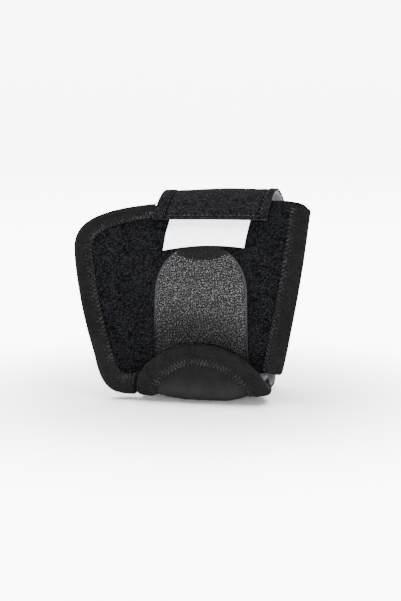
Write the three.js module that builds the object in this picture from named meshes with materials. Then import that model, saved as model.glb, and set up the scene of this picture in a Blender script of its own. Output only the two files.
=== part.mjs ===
// Tennis elbow strap, fastened into the closed loop that it forms round a forearm.
// Millimetres, +Z up. The forearm passes along X, the padded front panel faces -Y, and the
// loop stands on the flat of its rounded end pad. Origin: bottom centre of the whole part.
import * as THREE from "three";

// Driving dimensions, in millimetres.
const LOOP_HEIGHT = 113; // floor under the end pad to the top of the strap
const LOOP_DEPTH = 64; // front of the end pad to the back of the strap
const GAP = 0.3; // clearance between pieces that touch

const PANEL_WIDTH = 128; // along the forearm, where the panel is widest
const PANEL_THICKNESS = 3.2;
const PANEL_START = 0.6; // lower tip of the panel past the front end of the floor stretch
const SEAM_OVERLAP = 16; // panel under the sewn end of the strap

const TAPE_WIDTH = 9; // edge binding, one arm of the fold
const TAPE_THICKNESS = 0.9;
const TAPE_GAP = 0.6; // clearance inside the fold

const STRAP_WIDTH = 62;
const STRAP_THICKNESS = 1;
const LINING_THICKNESS = 1;
const LINING_MARGIN = 0.6; // lining short of the strap's cut edges
const STRAP_DROP = 24.8; // sewn end of the strap below the crest of the loop
const STRAP_SHORT = 6.4; // lower end of the strap, short of the front end of the floor stretch

const LABEL_WIDTH = 45;
const LABEL_LENGTH = 17;
const LABEL_THICKNESS = 1;
const LABEL_TUCK = 2.6; // label held under the strap's end
const LABEL_SHIFT = 3.6; // label centre, off the middle of the loop
const LABEL_BOW = 1.6; // lower edge pushed up in the middle by the tab
const LABEL_TILT = 0.03; // slope across the panel
const LABEL_EASE = 11; // stretch in which the label rises clear of the tab

const TAB_WIDTH = 49;
const TAB_FLARE = 2.4; // extra width at the sewn base
const TAB_TUCK = 4.7; // tip of the tab under the label
const TAB_NOSE = 28; // length of the rounded tip
const TAB_ROUND = 2.3; // squareness of the tip, where 2 is an ellipse
const BLUNT_TIP = 0.08; // the tab's tip ends this short of its curve's end
const TAB_THICKNESS = 1.4;
const TAB_START = 5; // sewn base past the front end of the floor stretch
const TAB_SHIFT = 2.2;
const TAB_RISE = 20; // stretch in which the tab steps down from the pad to the panel

const PAD_WIDTH = 73.2;
const PAD_LENGTH = 44.6;
const PAD_START = 16.4; // straight rear edge, short of the front end of the floor stretch
const PAD_EDGE = 2.4; // thickness inside the binding
const PAD_SHIFT = 2.7;
const PAD_CROWN_EASE = 8; // stretch in which the pad swells to its full thickness
const PAD_CROWN = 2.8; // swelling of the outer face, past the binding
const PAD_HEEL = 0.6; // swelling of the inner face

const CORNER_SAG = 7.8; // lower left corner of the panel, hanging beside the pad
const SAG_EASE = 14;
const SAG_LENGTH = 22;

// Height of each layer off the core line, the line that the loop is bent along.
// The panel's plush face lies on it, and the strap is wrapped over it.
const LINING_INNER = GAP;
const STRAP_INNER = LINING_INNER + LINING_THICKNESS + GAP;
const STRAP_OUTER = STRAP_INNER + STRAP_THICKNESS;
const PAD_TAPE_INNER = STRAP_OUTER + GAP;
const PAD_INNER = PAD_TAPE_INNER + TAPE_THICKNESS + TAPE_GAP;
const PAD_OUTER = PAD_INNER + PAD_EDGE;
const PAD_CROWN_OUTER = PAD_OUTER + PAD_CROWN;

const CORE_HEIGHT = LOOP_HEIGHT - PAD_CROWN_OUTER - STRAP_OUTER;
const CORE_DEPTH = LOOP_DEPTH - PAD_CROWN_OUTER - STRAP_OUTER;

// The core line, seen from the end of the forearm opening. It runs forward along the floor,
// up the front, over the crest and down the back. back and up are shares of the core's depth
// and height, and under is the thickness of the layers that the row lies on; heading is in
// degrees, 0 forward and 90 up; before and after are the reach of the curve's handles, as
// shares of the core's size along the heading.
const CORE_ROWS = [
  { back: 0.35, up: 0, under: STRAP_OUTER, heading: 0, before: 0.12, after: 0.04 },
  { back: 0.24, up: 0, under: STRAP_OUTER, heading: 0, before: 0.04, after: 0.12 },
  { back: -0.02, up: 0, under: PAD_CROWN_OUTER, heading: 0, before: 0.12, after: 0.1 },
  { back: -0.34, up: 0, under: PAD_CROWN_OUTER, heading: 0, before: 0.08, after: 0.1 },
  { back: -0.515, up: 0.117, under: PAD_CROWN_OUTER, heading: 88, before: 0.09, after: 0.2 },
  { back: -0.435, up: 0.594, under: PAD_CROWN_OUTER, heading: 103, before: 0.2, after: 0.14 },
  { back: 0.08, up: 1, under: PAD_CROWN_OUTER, heading: 180, before: 0.36, after: 0.28 },
  { back: 0.5, up: 0.594, under: PAD_CROWN_OUTER, heading: 268, before: 0.22, after: 0.16 },
  { back: 0.48, up: 0.127, under: PAD_CROWN_OUTER, heading: 277, before: 0.16, after: 0.12 },
];
const ROW_OF_FLOOR_FRONT = 3;
const ROW_OF_CREST = 6;

// Middle of the strap, off the middle of the loop, as shares of its width. at is a share of
// the way from the sewn end over the crest and down the back to the lower end.
const STRAP_SWAY = [
  { at: 0, side: 0.082 },
  { at: 0.15, side: 0.115 },
  { at: 0.24, side: 0.145 },
  { at: 0.45, side: 0.1 },
  { at: 0.72, side: 0.065 },
  { at: 1, side: 0.05 },
];

// Outline of the panel's finished edge, counterclockwise from the lower right corner: side is
// a share of the panel's width from the middle of the loop, rise a share of its length. Each
// row but the first closes a curve from the row before it, with two handles.
const PANEL_ROWS = [
  { side: 0.358, rise: 0.094 },
  { side: 0.455, rise: 0.945, handles: [[0.405, 0.349], [0.449, 0.661]] },
  { side: 0.297, rise: 1.012, handles: [[0.439, 0.99], [0.385, 1.012]] },
  { side: -0.545, rise: 0.698, handles: [[-0.172, 1.005], [-0.572, 0.955]] },
  { side: -0.443, rise: 0.165, handles: [[-0.539, 0.597], [-0.479, 0.295]] },
  { side: -0.281, rise: 0, handles: [[-0.419, 0.062], [-0.365, -0.008]] },
  { side: 0.358, rise: 0.094, handles: [[-0.078, 0.02], [0.195, 0.066]] },
];

// Right half of the pad's finished edge, from its rear corner to its tip: side is a share of
// half the pad's width, rise a share of its length.
const PAD_ROWS = [
  { side: 0.84, rise: 0 },
  { side: 1, rise: 0.42, handles: [[0.93, 0.12], [1, 0.26]] },
  { side: 0, rise: 1, handles: [[1, 0.66], [0.56, 1]] },
];

const EDGE_INSET = TAPE_GAP + TAPE_THICKNESS; // a bound piece ends this far inside its binding
const EDGE_STEPS = 14; // steps along each curve of the panel's outline
const PAD_STEPS = 13; // steps along each curve of the pad's outline
const PANEL_CROWDING = 1.4; // power that draws the panel's columns to its sagging left side

const WAY_STEP = 1e-4; // share of the core line over which its direction is taken
const LAST_SHARE = 1 - 1e-9; // just short of the core line's end

// Columns and rows of each sheet.
const PANEL_GRID = [26, 30];
const STRAP_GRID = [1, 56];
const LABEL_GRID = [10, 10];
const TAB_GRID = [8, 30];
const PAD_GRID = [12, 34];

const lerp = THREE.MathUtils.lerp;
const smooth = THREE.MathUtils.smoothstep;

// The core line as one path of the (Y, Z) plane, and the length run at each of its rows.
function coreLine() {
  const ends = CORE_ROWS.map((row) => {
    const angle = THREE.MathUtils.degToRad(row.heading);
    const way = new THREE.Vector2(-Math.cos(angle), Math.sin(angle));
    const reach = Math.hypot(CORE_DEPTH * way.x, CORE_HEIGHT * way.y);
    const spot = new THREE.Vector2(row.back * CORE_DEPTH, row.under + row.up * CORE_HEIGHT);
    return { spot, way, before: row.before * reach, after: row.after * reach };
  });
  const path = new THREE.CurvePath();
  ends.forEach((from, index) => {
    const to = ends[(index + 1) % ends.length];
    const leave = from.spot.clone().addScaledVector(from.way, from.after);
    const arrive = to.spot.clone().addScaledVector(to.way, -to.before);
    path.add(new THREE.CubicBezierCurve(from.spot, leave, arrive, to.spot));
  });
  const marks = [0, ...path.getCurveLengths()];
  return { path, marks, length: path.getLength() };
}

const CORE = coreLine();
const FLOOR_FRONT = CORE.marks[ROW_OF_FLOOR_FRONT];
const CREST = CORE.marks[ROW_OF_CREST];
const STRAP_TOP = CREST - STRAP_DROP;
const STRAP_BOTTOM = CORE.length + FLOOR_FRONT - STRAP_SHORT;
const PANEL_BOTTOM = FLOOR_FRONT + PANEL_START;
const PANEL_LENGTH = STRAP_TOP + SEAM_OVERLAP - PANEL_BOTTOM;
const TAB_BASE = FLOOR_FRONT + TAB_START;
const TAB_LENGTH = STRAP_TOP - LABEL_LENGTH + TAB_TUCK - TAB_BASE;

// The point of the model at side x, at a run along the core line and at a height off it.
function place(x, run, height) {
  const share = THREE.MathUtils.euclideanModulo(run, CORE.length) / CORE.length;
  const spot = CORE.path.getPoint(Math.min(share, LAST_SHARE));
  const from = CORE.path.getPoint(Math.max(share - WAY_STEP, 0));
  const to = CORE.path.getPoint(Math.min(share + WAY_STEP, LAST_SHARE));
  const way = to.sub(from).normalize();
  return new THREE.Vector3(x, spot.x - way.y * height, spot.y + way.x * height);
}

function solid(vertices, triangles) {
  const geometry = new THREE.BufferGeometry();
  const flat = vertices.flatMap((vertex) => vertex.toArray());
  geometry.setAttribute("position", new THREE.Float32BufferAttribute(flat, 3));
  geometry.setIndex(triangles.flat());
  geometry.computeVertexNormals();
  return geometry;
}

// A sheet bent along the core line: a grid of spots (side, run) with an inner and an outer
// height at each, closed round its edge.
function sheet([columns, rows], spotAt, innerAt, outerAt) {
  const outer = [];
  const inner = [];
  for (let row = 0; row <= rows; row += 1) {
    for (let column = 0; column <= columns; column += 1) {
      const [x, run] = spotAt(column / columns, row / rows);
      outer.push(place(x, run, outerAt(x, run)));
      inner.push(place(x, run, innerAt(x, run)));
    }
  }
  const index = (column, row) => row * (columns + 1) + column;
  const under = outer.length;
  const triangles = [];
  for (let row = 0; row < rows; row += 1) {
    for (let column = 0; column < columns; column += 1) {
      const a = index(column, row);
      const b = index(column + 1, row);
      const c = index(column + 1, row + 1);
      const d = index(column, row + 1);
      triangles.push([a, b, c], [a, c, d]);
      triangles.push([under + a, under + c, under + b], [under + a, under + d, under + c]);
    }
  }
  const rim = [];
  for (let column = 0; column < columns; column += 1) rim.push(index(column, 0));
  for (let row = 0; row < rows; row += 1) rim.push(index(columns, row));
  for (let column = columns; column > 0; column -= 1) rim.push(index(column, rows));
  for (let row = rows; row > 0; row -= 1) rim.push(index(0, row));
  rim.forEach((a, step) => {
    const b = rim[(step + 1) % rim.length];
    triangles.push([a, under + a, under + b], [a, under + b, b]);
  });
  return solid([...outer, ...inner], triangles);
}

// A binding tape folded over an edge. edge is a line of spots with the piece on its left;
// inner and outer are the faces of the piece that it grips. The section is a ladder whose
// rungs hold a spot (inset, height) of the tape's outside and one of its inside.
function foldedTape(edge, inner, outer, sagAt = () => 0) {
  const top = outer + TAPE_GAP;
  const low = inner - TAPE_GAP;
  const arm = [1, 2 / 3, 1 / 3].map((share) => share * TAPE_WIDTH);
  const rungs = [
    ...arm.map((inset) => [[inset, top + TAPE_THICKNESS], [inset, top]]),
    [[-TAPE_GAP, top + TAPE_THICKNESS], [0, top]],
    [[-EDGE_INSET, top - TAPE_GAP], [-TAPE_GAP, top - TAPE_GAP]],
    [[-EDGE_INSET, low + TAPE_GAP], [-TAPE_GAP, low + TAPE_GAP]],
    [[-TAPE_GAP, low - TAPE_THICKNESS], [0, low]],
    ...arm.toReversed().map((inset) => [[inset, low - TAPE_THICKNESS], [inset, low]]),
  ];
  const section = [...rungs.map((rung) => rung[0]), ...rungs.toReversed().map((rung) => rung[1])];
  const vertices = [];
  edge.forEach((spot, step) => {
    const from = edge[Math.max(step - 1, 0)];
    const to = edge[Math.min(step + 1, edge.length - 1)];
    const way = to.clone().sub(from).normalize();
    for (const [inset, height] of section) {
      const x = spot.x - way.y * inset;
      const run = spot.y + way.x * inset;
      vertices.push(place(x, run, height + sagAt(x, run)));
    }
  });
  const count = section.length;
  const last = (edge.length - 1) * count;
  const triangles = [];
  for (let step = 0; step < edge.length - 1; step += 1) {
    for (let side = 0; side < count; side += 1) {
      const a = step * count + side;
      const b = step * count + ((side + 1) % count);
      triangles.push([a, b, a + count], [b, b + count, a + count]);
    }
  }
  for (let rung = 0; rung < rungs.length - 1; rung += 1) {
    const [a, b, c, d] = [rung, rung + 1, count - 2 - rung, count - 1 - rung];
    triangles.push([a, c, b], [a, d, c]);
    triangles.push([last + a, last + b, last + c], [last + a, last + c, last + d]);
  }
  return solid(vertices, triangles);
}

// Steps from 0 to 1 that close up towards both ends, where an outline is round.
const eased = (share) => (1 - Math.cos(Math.PI * share)) / 2;

// The finished edge of the panel, as a closed line of spots.
function panelOutline(steps) {
  const spot = ([side, rise]) =>
    new THREE.Vector2(side * PANEL_WIDTH, PANEL_BOTTOM + rise * PANEL_LENGTH);
  const path = new THREE.Path();
  path.moveTo(...spot([PANEL_ROWS[0].side, PANEL_ROWS[0].rise]).toArray());
  for (const row of PANEL_ROWS.slice(1)) {
    const [first, second] = row.handles.map(spot);
    const end = spot([row.side, row.rise]);
    path.bezierCurveTo(...first.toArray(), ...second.toArray(), ...end.toArray());
  }
  return path.getPoints(steps);
}

// The same line moved in by a distance, so that a folded tape ends on the finished edge.
function movedIn(line, distance, closed) {
  return line.map((spot, step) => {
    const from = step > 0 || !closed ? line[Math.max(step - 1, 0)] : line[line.length - 2];
    const to = step < line.length - 1 || !closed ? line[Math.min(step + 1, line.length - 1)] : line[1];
    const way = to.clone().sub(from).normalize();
    return new THREE.Vector2(spot.x - way.y * distance, spot.y + way.x * distance);
  });
}

// Left and right end of a closed outline at a run.
function spanAt(outline, run) {
  const sides = [];
  outline.forEach((spot, step) => {
    const next = outline[(step + 1) % outline.length];
    if ((spot.y - run) * (next.y - run) < 0) {
      sides.push(lerp(spot.x, next.x, (run - spot.y) / (next.y - spot.y)));
    }
  });
  return [Math.min(...sides), Math.max(...sides)];
}

// How far the lower left corner of the panel hangs out beside the pad.
function cornerSag(x, run) {
  const beside = PAD_SHIFT - PAD_WIDTH / 2 + GAP;
  const outward = smooth(-x, -beside, SAG_EASE - beside);
  return CORNER_SAG * outward * smooth(FLOOR_FRONT + SAG_LENGTH - run, 0, SAG_LENGTH);
}

const PANEL_EDGE = panelOutline(EDGE_STEPS);

function frontPanel() {
  const outline = movedIn(PANEL_EDGE, EDGE_INSET + GAP, true);
  const runs = outline.map((spot) => spot.y);
  const low = Math.min(...runs) + GAP;
  const high = Math.max(...runs) - GAP;
  const spotAt = (across, along) => {
    const run = lerp(low, high, eased(along));
    const [left, right] = spanAt(outline, run);
    return [lerp(left, right, across ** PANEL_CROWDING), run];
  };
  const innerAt = (x, run) => cornerSag(x, run) - PANEL_THICKNESS;
  return sheet(PANEL_GRID, spotAt, innerAt, cornerSag);
}

// The left binding runs from beside the strap round the left edge to behind the pad.
function panelBindingLeft() {
  const stop = strapMiddle(STRAP_TOP) - STRAP_WIDTH / 2 - 2 * GAP;
  const line = movedIn(PANEL_EDGE, EDGE_INSET, true);
  const edge = line.filter((spot) => spot.x < stop);
  return foldedTape(edge, -PANEL_THICKNESS, 0, cornerSag);
}

function panelBindingRight() {
  const edge = movedIn(PANEL_EDGE.slice(0, EDGE_STEPS + 1), EDGE_INSET, false);
  return foldedTape(edge, -PANEL_THICKNESS, 0);
}

// Middle of the strap at a run, swaying from side to side along its way.
function strapMiddle(run) {
  const share = (run - STRAP_TOP) / (STRAP_BOTTOM - STRAP_TOP);
  const next = Math.max(STRAP_SWAY.findIndex((row) => row.at >= share), 1);
  const [a, b] = [STRAP_SWAY[next - 1], STRAP_SWAY[next]];
  return STRAP_WIDTH * lerp(a.side, b.side, smooth(share, a.at, b.at));
}

// The strap's sewn end rides up over the label.
function strapLift(run) {
  const over = STRAP_TOP + LABEL_TUCK + GAP;
  return (LABEL_THICKNESS + GAP) * smooth(over + LABEL_TUCK * 3 - run, 0, LABEL_TUCK * 3);
}

function strapLayer(width, inner, thickness) {
  const spotAt = (across, along) => {
    const run = lerp(STRAP_TOP, STRAP_BOTTOM, along);
    return [strapMiddle(run) + (across - 0.5) * width, run];
  };
  const innerAt = (x, run) => inner + strapLift(run);
  const outerAt = (x, run) => inner + strapLift(run) + thickness;
  return sheet(STRAP_GRID, spotAt, innerAt, outerAt);
}

function wrapStrap() {
  return strapLayer(STRAP_WIDTH, STRAP_INNER, STRAP_THICKNESS);
}

function strapLining() {
  return strapLayer(STRAP_WIDTH - 2 * LINING_MARGIN, LINING_INNER, LINING_THICKNESS);
}

// The label hangs from under the strap's end and rises over the tip of the tab.
function label() {
  const top = STRAP_TOP + LABEL_TUCK;
  const spotAt = (across, along) => {
    const side = (across - 0.5) * LABEL_WIDTH;
    const bow = LABEL_BOW * (1 - (2 * across - 1) ** 2) * (1 - along);
    const run = top - (LABEL_LENGTH + LABEL_TUCK) * (1 - along);
    return [side + LABEL_SHIFT, run + bow + side * LABEL_TILT * (1 - along)];
  };
  const lift = TAB_THICKNESS + GAP;
  const innerAt = (x, run) => GAP + lift * smooth(top - LABEL_TUCK - run, 0, LABEL_EASE);
  const outerAt = (x, run) => innerAt(x, run) + LABEL_THICKNESS;
  return sheet(LABEL_GRID, spotAt, innerAt, outerAt);
}

// The hook tab is sewn to the inside of the pad and pressed up the panel's plush face.
function hookTab() {
  const tip = TAB_BASE + TAB_LENGTH;
  const spotAt = (across, along) => {
    const run = lerp(TAB_BASE, tip - BLUNT_TIP, eased(along));
    const nose = Math.max(run - (tip - TAB_NOSE), 0) / TAB_NOSE;
    const flare = TAB_FLARE * (1 - along);
    const width = (TAB_WIDTH + flare) * Math.sqrt(1 - nose ** TAB_ROUND);
    return [TAB_SHIFT + flare / 2 + (across - 0.5) * width, run];
  };
  const step = PAD_TAPE_INNER - TAB_THICKNESS - 3 * GAP;
  const innerAt = (x, run) => GAP + step * smooth(TAB_BASE + TAB_RISE - run, 0, TAB_RISE);
  const outerAt = (x, run) => innerAt(x, run) + TAB_THICKNESS;
  return sheet(TAB_GRID, spotAt, innerAt, outerAt);
}

// The pad's finished edge, from its rear right corner round the tip to its rear left corner.
function padOutline() {
  const rear = FLOOR_FRONT - PAD_START;
  const right = new THREE.Path();
  const spot = ([side, rise]) => new THREE.Vector2((side * PAD_WIDTH) / 2, rear + rise * PAD_LENGTH);
  right.moveTo(...spot([PAD_ROWS[0].side, PAD_ROWS[0].rise]).toArray());
  for (const row of PAD_ROWS.slice(1)) {
    const [first, second] = row.handles.map(spot);
    const end = spot([row.side, row.rise]);
    right.bezierCurveTo(...first.toArray(), ...second.toArray(), ...end.toArray());
  }
  const half = right.getPoints(PAD_STEPS);
  const left = half.slice(0, -1).toReversed();
  return [
    ...half.map((spot) => new THREE.Vector2(PAD_SHIFT + spot.x, spot.y)),
    ...left.map((spot) => new THREE.Vector2(PAD_SHIFT - spot.x, spot.y)),
  ];
}

const PAD_EDGE_LINE = padOutline();

// The pad swells from its bound edge to its full thickness in the middle.
function padCrown(x, run) {
  const spot = new THREE.Vector3(x, run, 0);
  const nearest = new THREE.Vector3();
  const distances = PAD_EDGE_LINE.slice(1).map((end, step) => {
    const start = PAD_EDGE_LINE[step];
    const edge = new THREE.Line3(new THREE.Vector3(start.x, start.y), new THREE.Vector3(end.x, end.y));
    return edge.closestPointToPoint(spot, true, nearest).distanceTo(spot);
  });
  const bound = EDGE_INSET + TAPE_WIDTH + TAPE_GAP;
  return smooth(Math.min(...distances) - bound, 0, PAD_CROWN_EASE);
}

function endPad() {
  const outline = movedIn(PAD_EDGE_LINE, EDGE_INSET + GAP, false);
  const low = outline[0].y + TAPE_GAP;
  const high = outline[2 * PAD_STEPS].y - TAPE_GAP;
  const spotAt = (across, along) => {
    const run = lerp(low, high, Math.sin((along * Math.PI) / 2));
    const [left, right] = spanAt(outline, run);
    return [lerp(left, right, across), run];
  };
  const innerAt = (x, run) => PAD_INNER - PAD_HEEL * padCrown(x, run);
  const outerAt = (x, run) => PAD_OUTER + PAD_CROWN * padCrown(x, run);
  return sheet(PAD_GRID, spotAt, innerAt, outerAt);
}

function padBinding() {
  return foldedTape(movedIn(PAD_EDGE_LINE, EDGE_INSET, false), PAD_INNER, PAD_OUTER);
}

function cloth(color, roughness) {
  return new THREE.MeshStandardMaterial({ color, roughness, metalness: 0 });
}

const PLUSH = cloth(0x16171b, 0.95);
const TAPE = cloth(0x242424, 0.85);
const LOOP_CLOTH = cloth(0x1b1b1e, 0.92);
const LINING = cloth(0x8b8c8e, 0.9);
const HOOK = cloth(0x555658, 0.6);
const JERSEY = cloth(0x2e2e30, 0.85);
const SATIN = cloth(0xf2f4f7, 0.5);

const PIECES = [
  ["front_panel", frontPanel(), PLUSH],
  ["panel_binding_left", panelBindingLeft(), TAPE],
  ["panel_binding_right", panelBindingRight(), TAPE],
  ["wrap_strap", wrapStrap(), LOOP_CLOTH],
  ["strap_lining", strapLining(), LINING],
  ["label", label(), SATIN],
  ["hook_tab", hookTab(), HOOK],
  ["end_pad", endPad(), JERSEY],
  ["pad_binding", padBinding(), TAPE],
];

const elbowStrap = new THREE.Group();
for (const [name, geometry, material] of PIECES) {
  const mesh = new THREE.Mesh(geometry, material);
  mesh.name = name;
  elbowStrap.add(mesh);
}

// The origin goes to the bottom centre of the whole part.
const extent = new THREE.Box3().setFromObject(elbowStrap, true);
const centre = extent.getCenter(new THREE.Vector3());
elbowStrap.position.set(-centre.x, -centre.y, -extent.min.z);

export default elbowStrap;
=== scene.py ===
"""Looks of a padded tennis elbow strap, fastened into the loop that it forms round a forearm.

Every piece is cut and padded flat, as it is in the workroom: x lies across the loop, y is the
run along the loop's core line and z is the height off it. It is then bent round that line.
Lengths are in metres, and sizes written times MM are in millimetres.
"""

import logging
import math
from collections.abc import Callable, Sequence
from dataclasses import dataclass, field
from enum import Enum

import bmesh
import bpy
import numpy as np
from mathutils import Matrix, Vector, noise


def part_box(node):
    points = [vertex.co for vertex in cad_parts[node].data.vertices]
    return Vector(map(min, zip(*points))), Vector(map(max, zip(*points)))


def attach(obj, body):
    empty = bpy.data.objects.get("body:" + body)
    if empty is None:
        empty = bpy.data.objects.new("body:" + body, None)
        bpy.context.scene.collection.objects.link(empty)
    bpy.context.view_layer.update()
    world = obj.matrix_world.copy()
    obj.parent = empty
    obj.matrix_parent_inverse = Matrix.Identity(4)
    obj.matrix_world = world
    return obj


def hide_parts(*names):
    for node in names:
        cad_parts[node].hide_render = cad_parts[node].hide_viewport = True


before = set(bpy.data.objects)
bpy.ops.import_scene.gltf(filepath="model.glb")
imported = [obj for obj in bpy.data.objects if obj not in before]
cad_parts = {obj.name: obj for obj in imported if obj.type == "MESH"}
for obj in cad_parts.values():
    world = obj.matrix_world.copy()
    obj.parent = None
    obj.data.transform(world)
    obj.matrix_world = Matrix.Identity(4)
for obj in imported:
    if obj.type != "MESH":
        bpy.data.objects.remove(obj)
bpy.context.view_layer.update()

LOG = logging.getLogger("elbow_strap")
MM = 0.001

Array = np.ndarray
Field = Callable[[Array, Array], Array]
Spots = Callable[[Array, Array], tuple[Array, Array]]
Stitches = list[tuple[Vector, Vector]]


def smooth(value: Array, low: float, high: float) -> Array:
    """Steps softly from 0 at low to 1 at high."""
    share = np.clip((value - low) / (high - low), 0, 1)
    return share * share * (3 - 2 * share)


def eased(share: Array) -> Array:
    """Shares from 0 to 1 that close up towards both ends."""
    return (1 - np.cos(np.pi * share)) / 2


def waver(x: Array, run: Array, size: float, seed: float) -> Array:
    """Soft unevenness of cloth, from -1 to 1.

    Args:
        x: Places across the loop.
        run: Places along the loop.
        size: Length of one dent.
        seed: Which of the patterns to take.

    Returns:
        The unevenness at each place.
    """
    spots = np.column_stack([x / size, run / size, np.full(len(x), seed)])
    return np.array([noise.noise(Vector(spot)) for spot in spots])


@dataclass(frozen=True)
class Station:
    """One row of the core line: shares of the core's depth and height, and the curve's reach."""

    back: float
    up: float
    padded: bool
    heading: float
    before: float
    after: float


@dataclass(frozen=True)
class Sizes:
    """Sizes that several pieces share. Heights are measured off the core line, outwards."""

    loop_height: float = 113 * MM
    loop_depth: float = 64 * MM
    gap: float = 0.3 * MM
    panel_width: float = 128 * MM
    panel_thickness: float = 3.2 * MM
    panel_start: float = 0.6 * MM
    seam_overlap: float = 16 * MM
    tape_width: float = 9 * MM
    tape_thickness: float = 0.9 * MM
    tape_gap: float = 0.6 * MM
    strap_width: float = 62 * MM
    strap_thickness: float = 1 * MM
    strap_drop: float = 24.8 * MM
    strap_short: float = 6.4 * MM
    lining_thickness: float = 1 * MM
    label_length: float = 17 * MM
    label_tuck: float = 2.6 * MM
    label_thickness: float = 1 * MM
    tab_start: float = 5 * MM
    tab_tuck: float = 4.7 * MM
    tab_thickness: float = 1.4 * MM
    pad_width: float = 73.2 * MM
    pad_length: float = 44.6 * MM
    pad_start: float = 16.4 * MM
    pad_shift: float = 2.7 * MM
    pad_edge: float = 2.4 * MM
    pad_crown: float = 2.8 * MM

    @property
    def strap_inner(self) -> float:
        """Height of the strap's inner face."""
        return 2 * self.gap + self.lining_thickness

    @property
    def strap_outer(self) -> float:
        """Height of the strap's outer face."""
        return self.strap_inner + self.strap_thickness

    @property
    def pad_inner(self) -> float:
        """Height of the pad's inner face at its edge."""
        return self.strap_outer + self.gap + self.tape_thickness + self.tape_gap

    @property
    def pad_outer(self) -> float:
        """Height of the pad's outer face at its edge."""
        return self.pad_inner + self.pad_edge

    @property
    def edge_inset(self) -> float:
        """How far inside its binding's outside a bound piece ends."""
        return self.tape_gap + self.tape_thickness


SIZES = Sizes()

STATIONS = (
    Station(back=0.35, up=0, padded=False, heading=0, before=0.12, after=0.04),
    Station(back=0.24, up=0, padded=False, heading=0, before=0.04, after=0.12),
    Station(back=-0.02, up=0, padded=True, heading=0, before=0.12, after=0.1),
    Station(back=-0.34, up=0, padded=True, heading=0, before=0.08, after=0.1),
    Station(back=-0.515, up=0.117, padded=True, heading=88, before=0.09, after=0.2),
    Station(back=-0.435, up=0.594, padded=True, heading=103, before=0.2, after=0.14),
    Station(back=0.08, up=1, padded=True, heading=180, before=0.36, after=0.28),
    Station(back=0.5, up=0.594, padded=True, heading=268, before=0.22, after=0.16),
    Station(back=0.48, up=0.127, padded=True, heading=277, before=0.16, after=0.12),
)
FLOOR_FRONT_STATION = 3
CREST_STATION = 6


def bezier(points: Sequence[Array], steps: int) -> tuple[Array, Array]:
    """Samples a cubic curve.

    Args:
        points: The start, the two handles and the end.
        steps: How many samples, the end left out.

    Returns:
        The samples and the curve's direction at each, not of unit length.
    """
    start, first, second, end = (np.asarray(point, float) for point in points)
    t = np.linspace(0, 1, steps, endpoint=False)[:, None]
    spot = (1 - t) ** 3 * start + 3 * (1 - t) ** 2 * t * first + 3 * (1 - t) * t**2 * second
    spot = spot + t**3 * end
    way = (1 - t) ** 2 * (first - start) + 2 * (1 - t) * t * (second - first)
    return spot, way + t**2 * (end - second)


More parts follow.
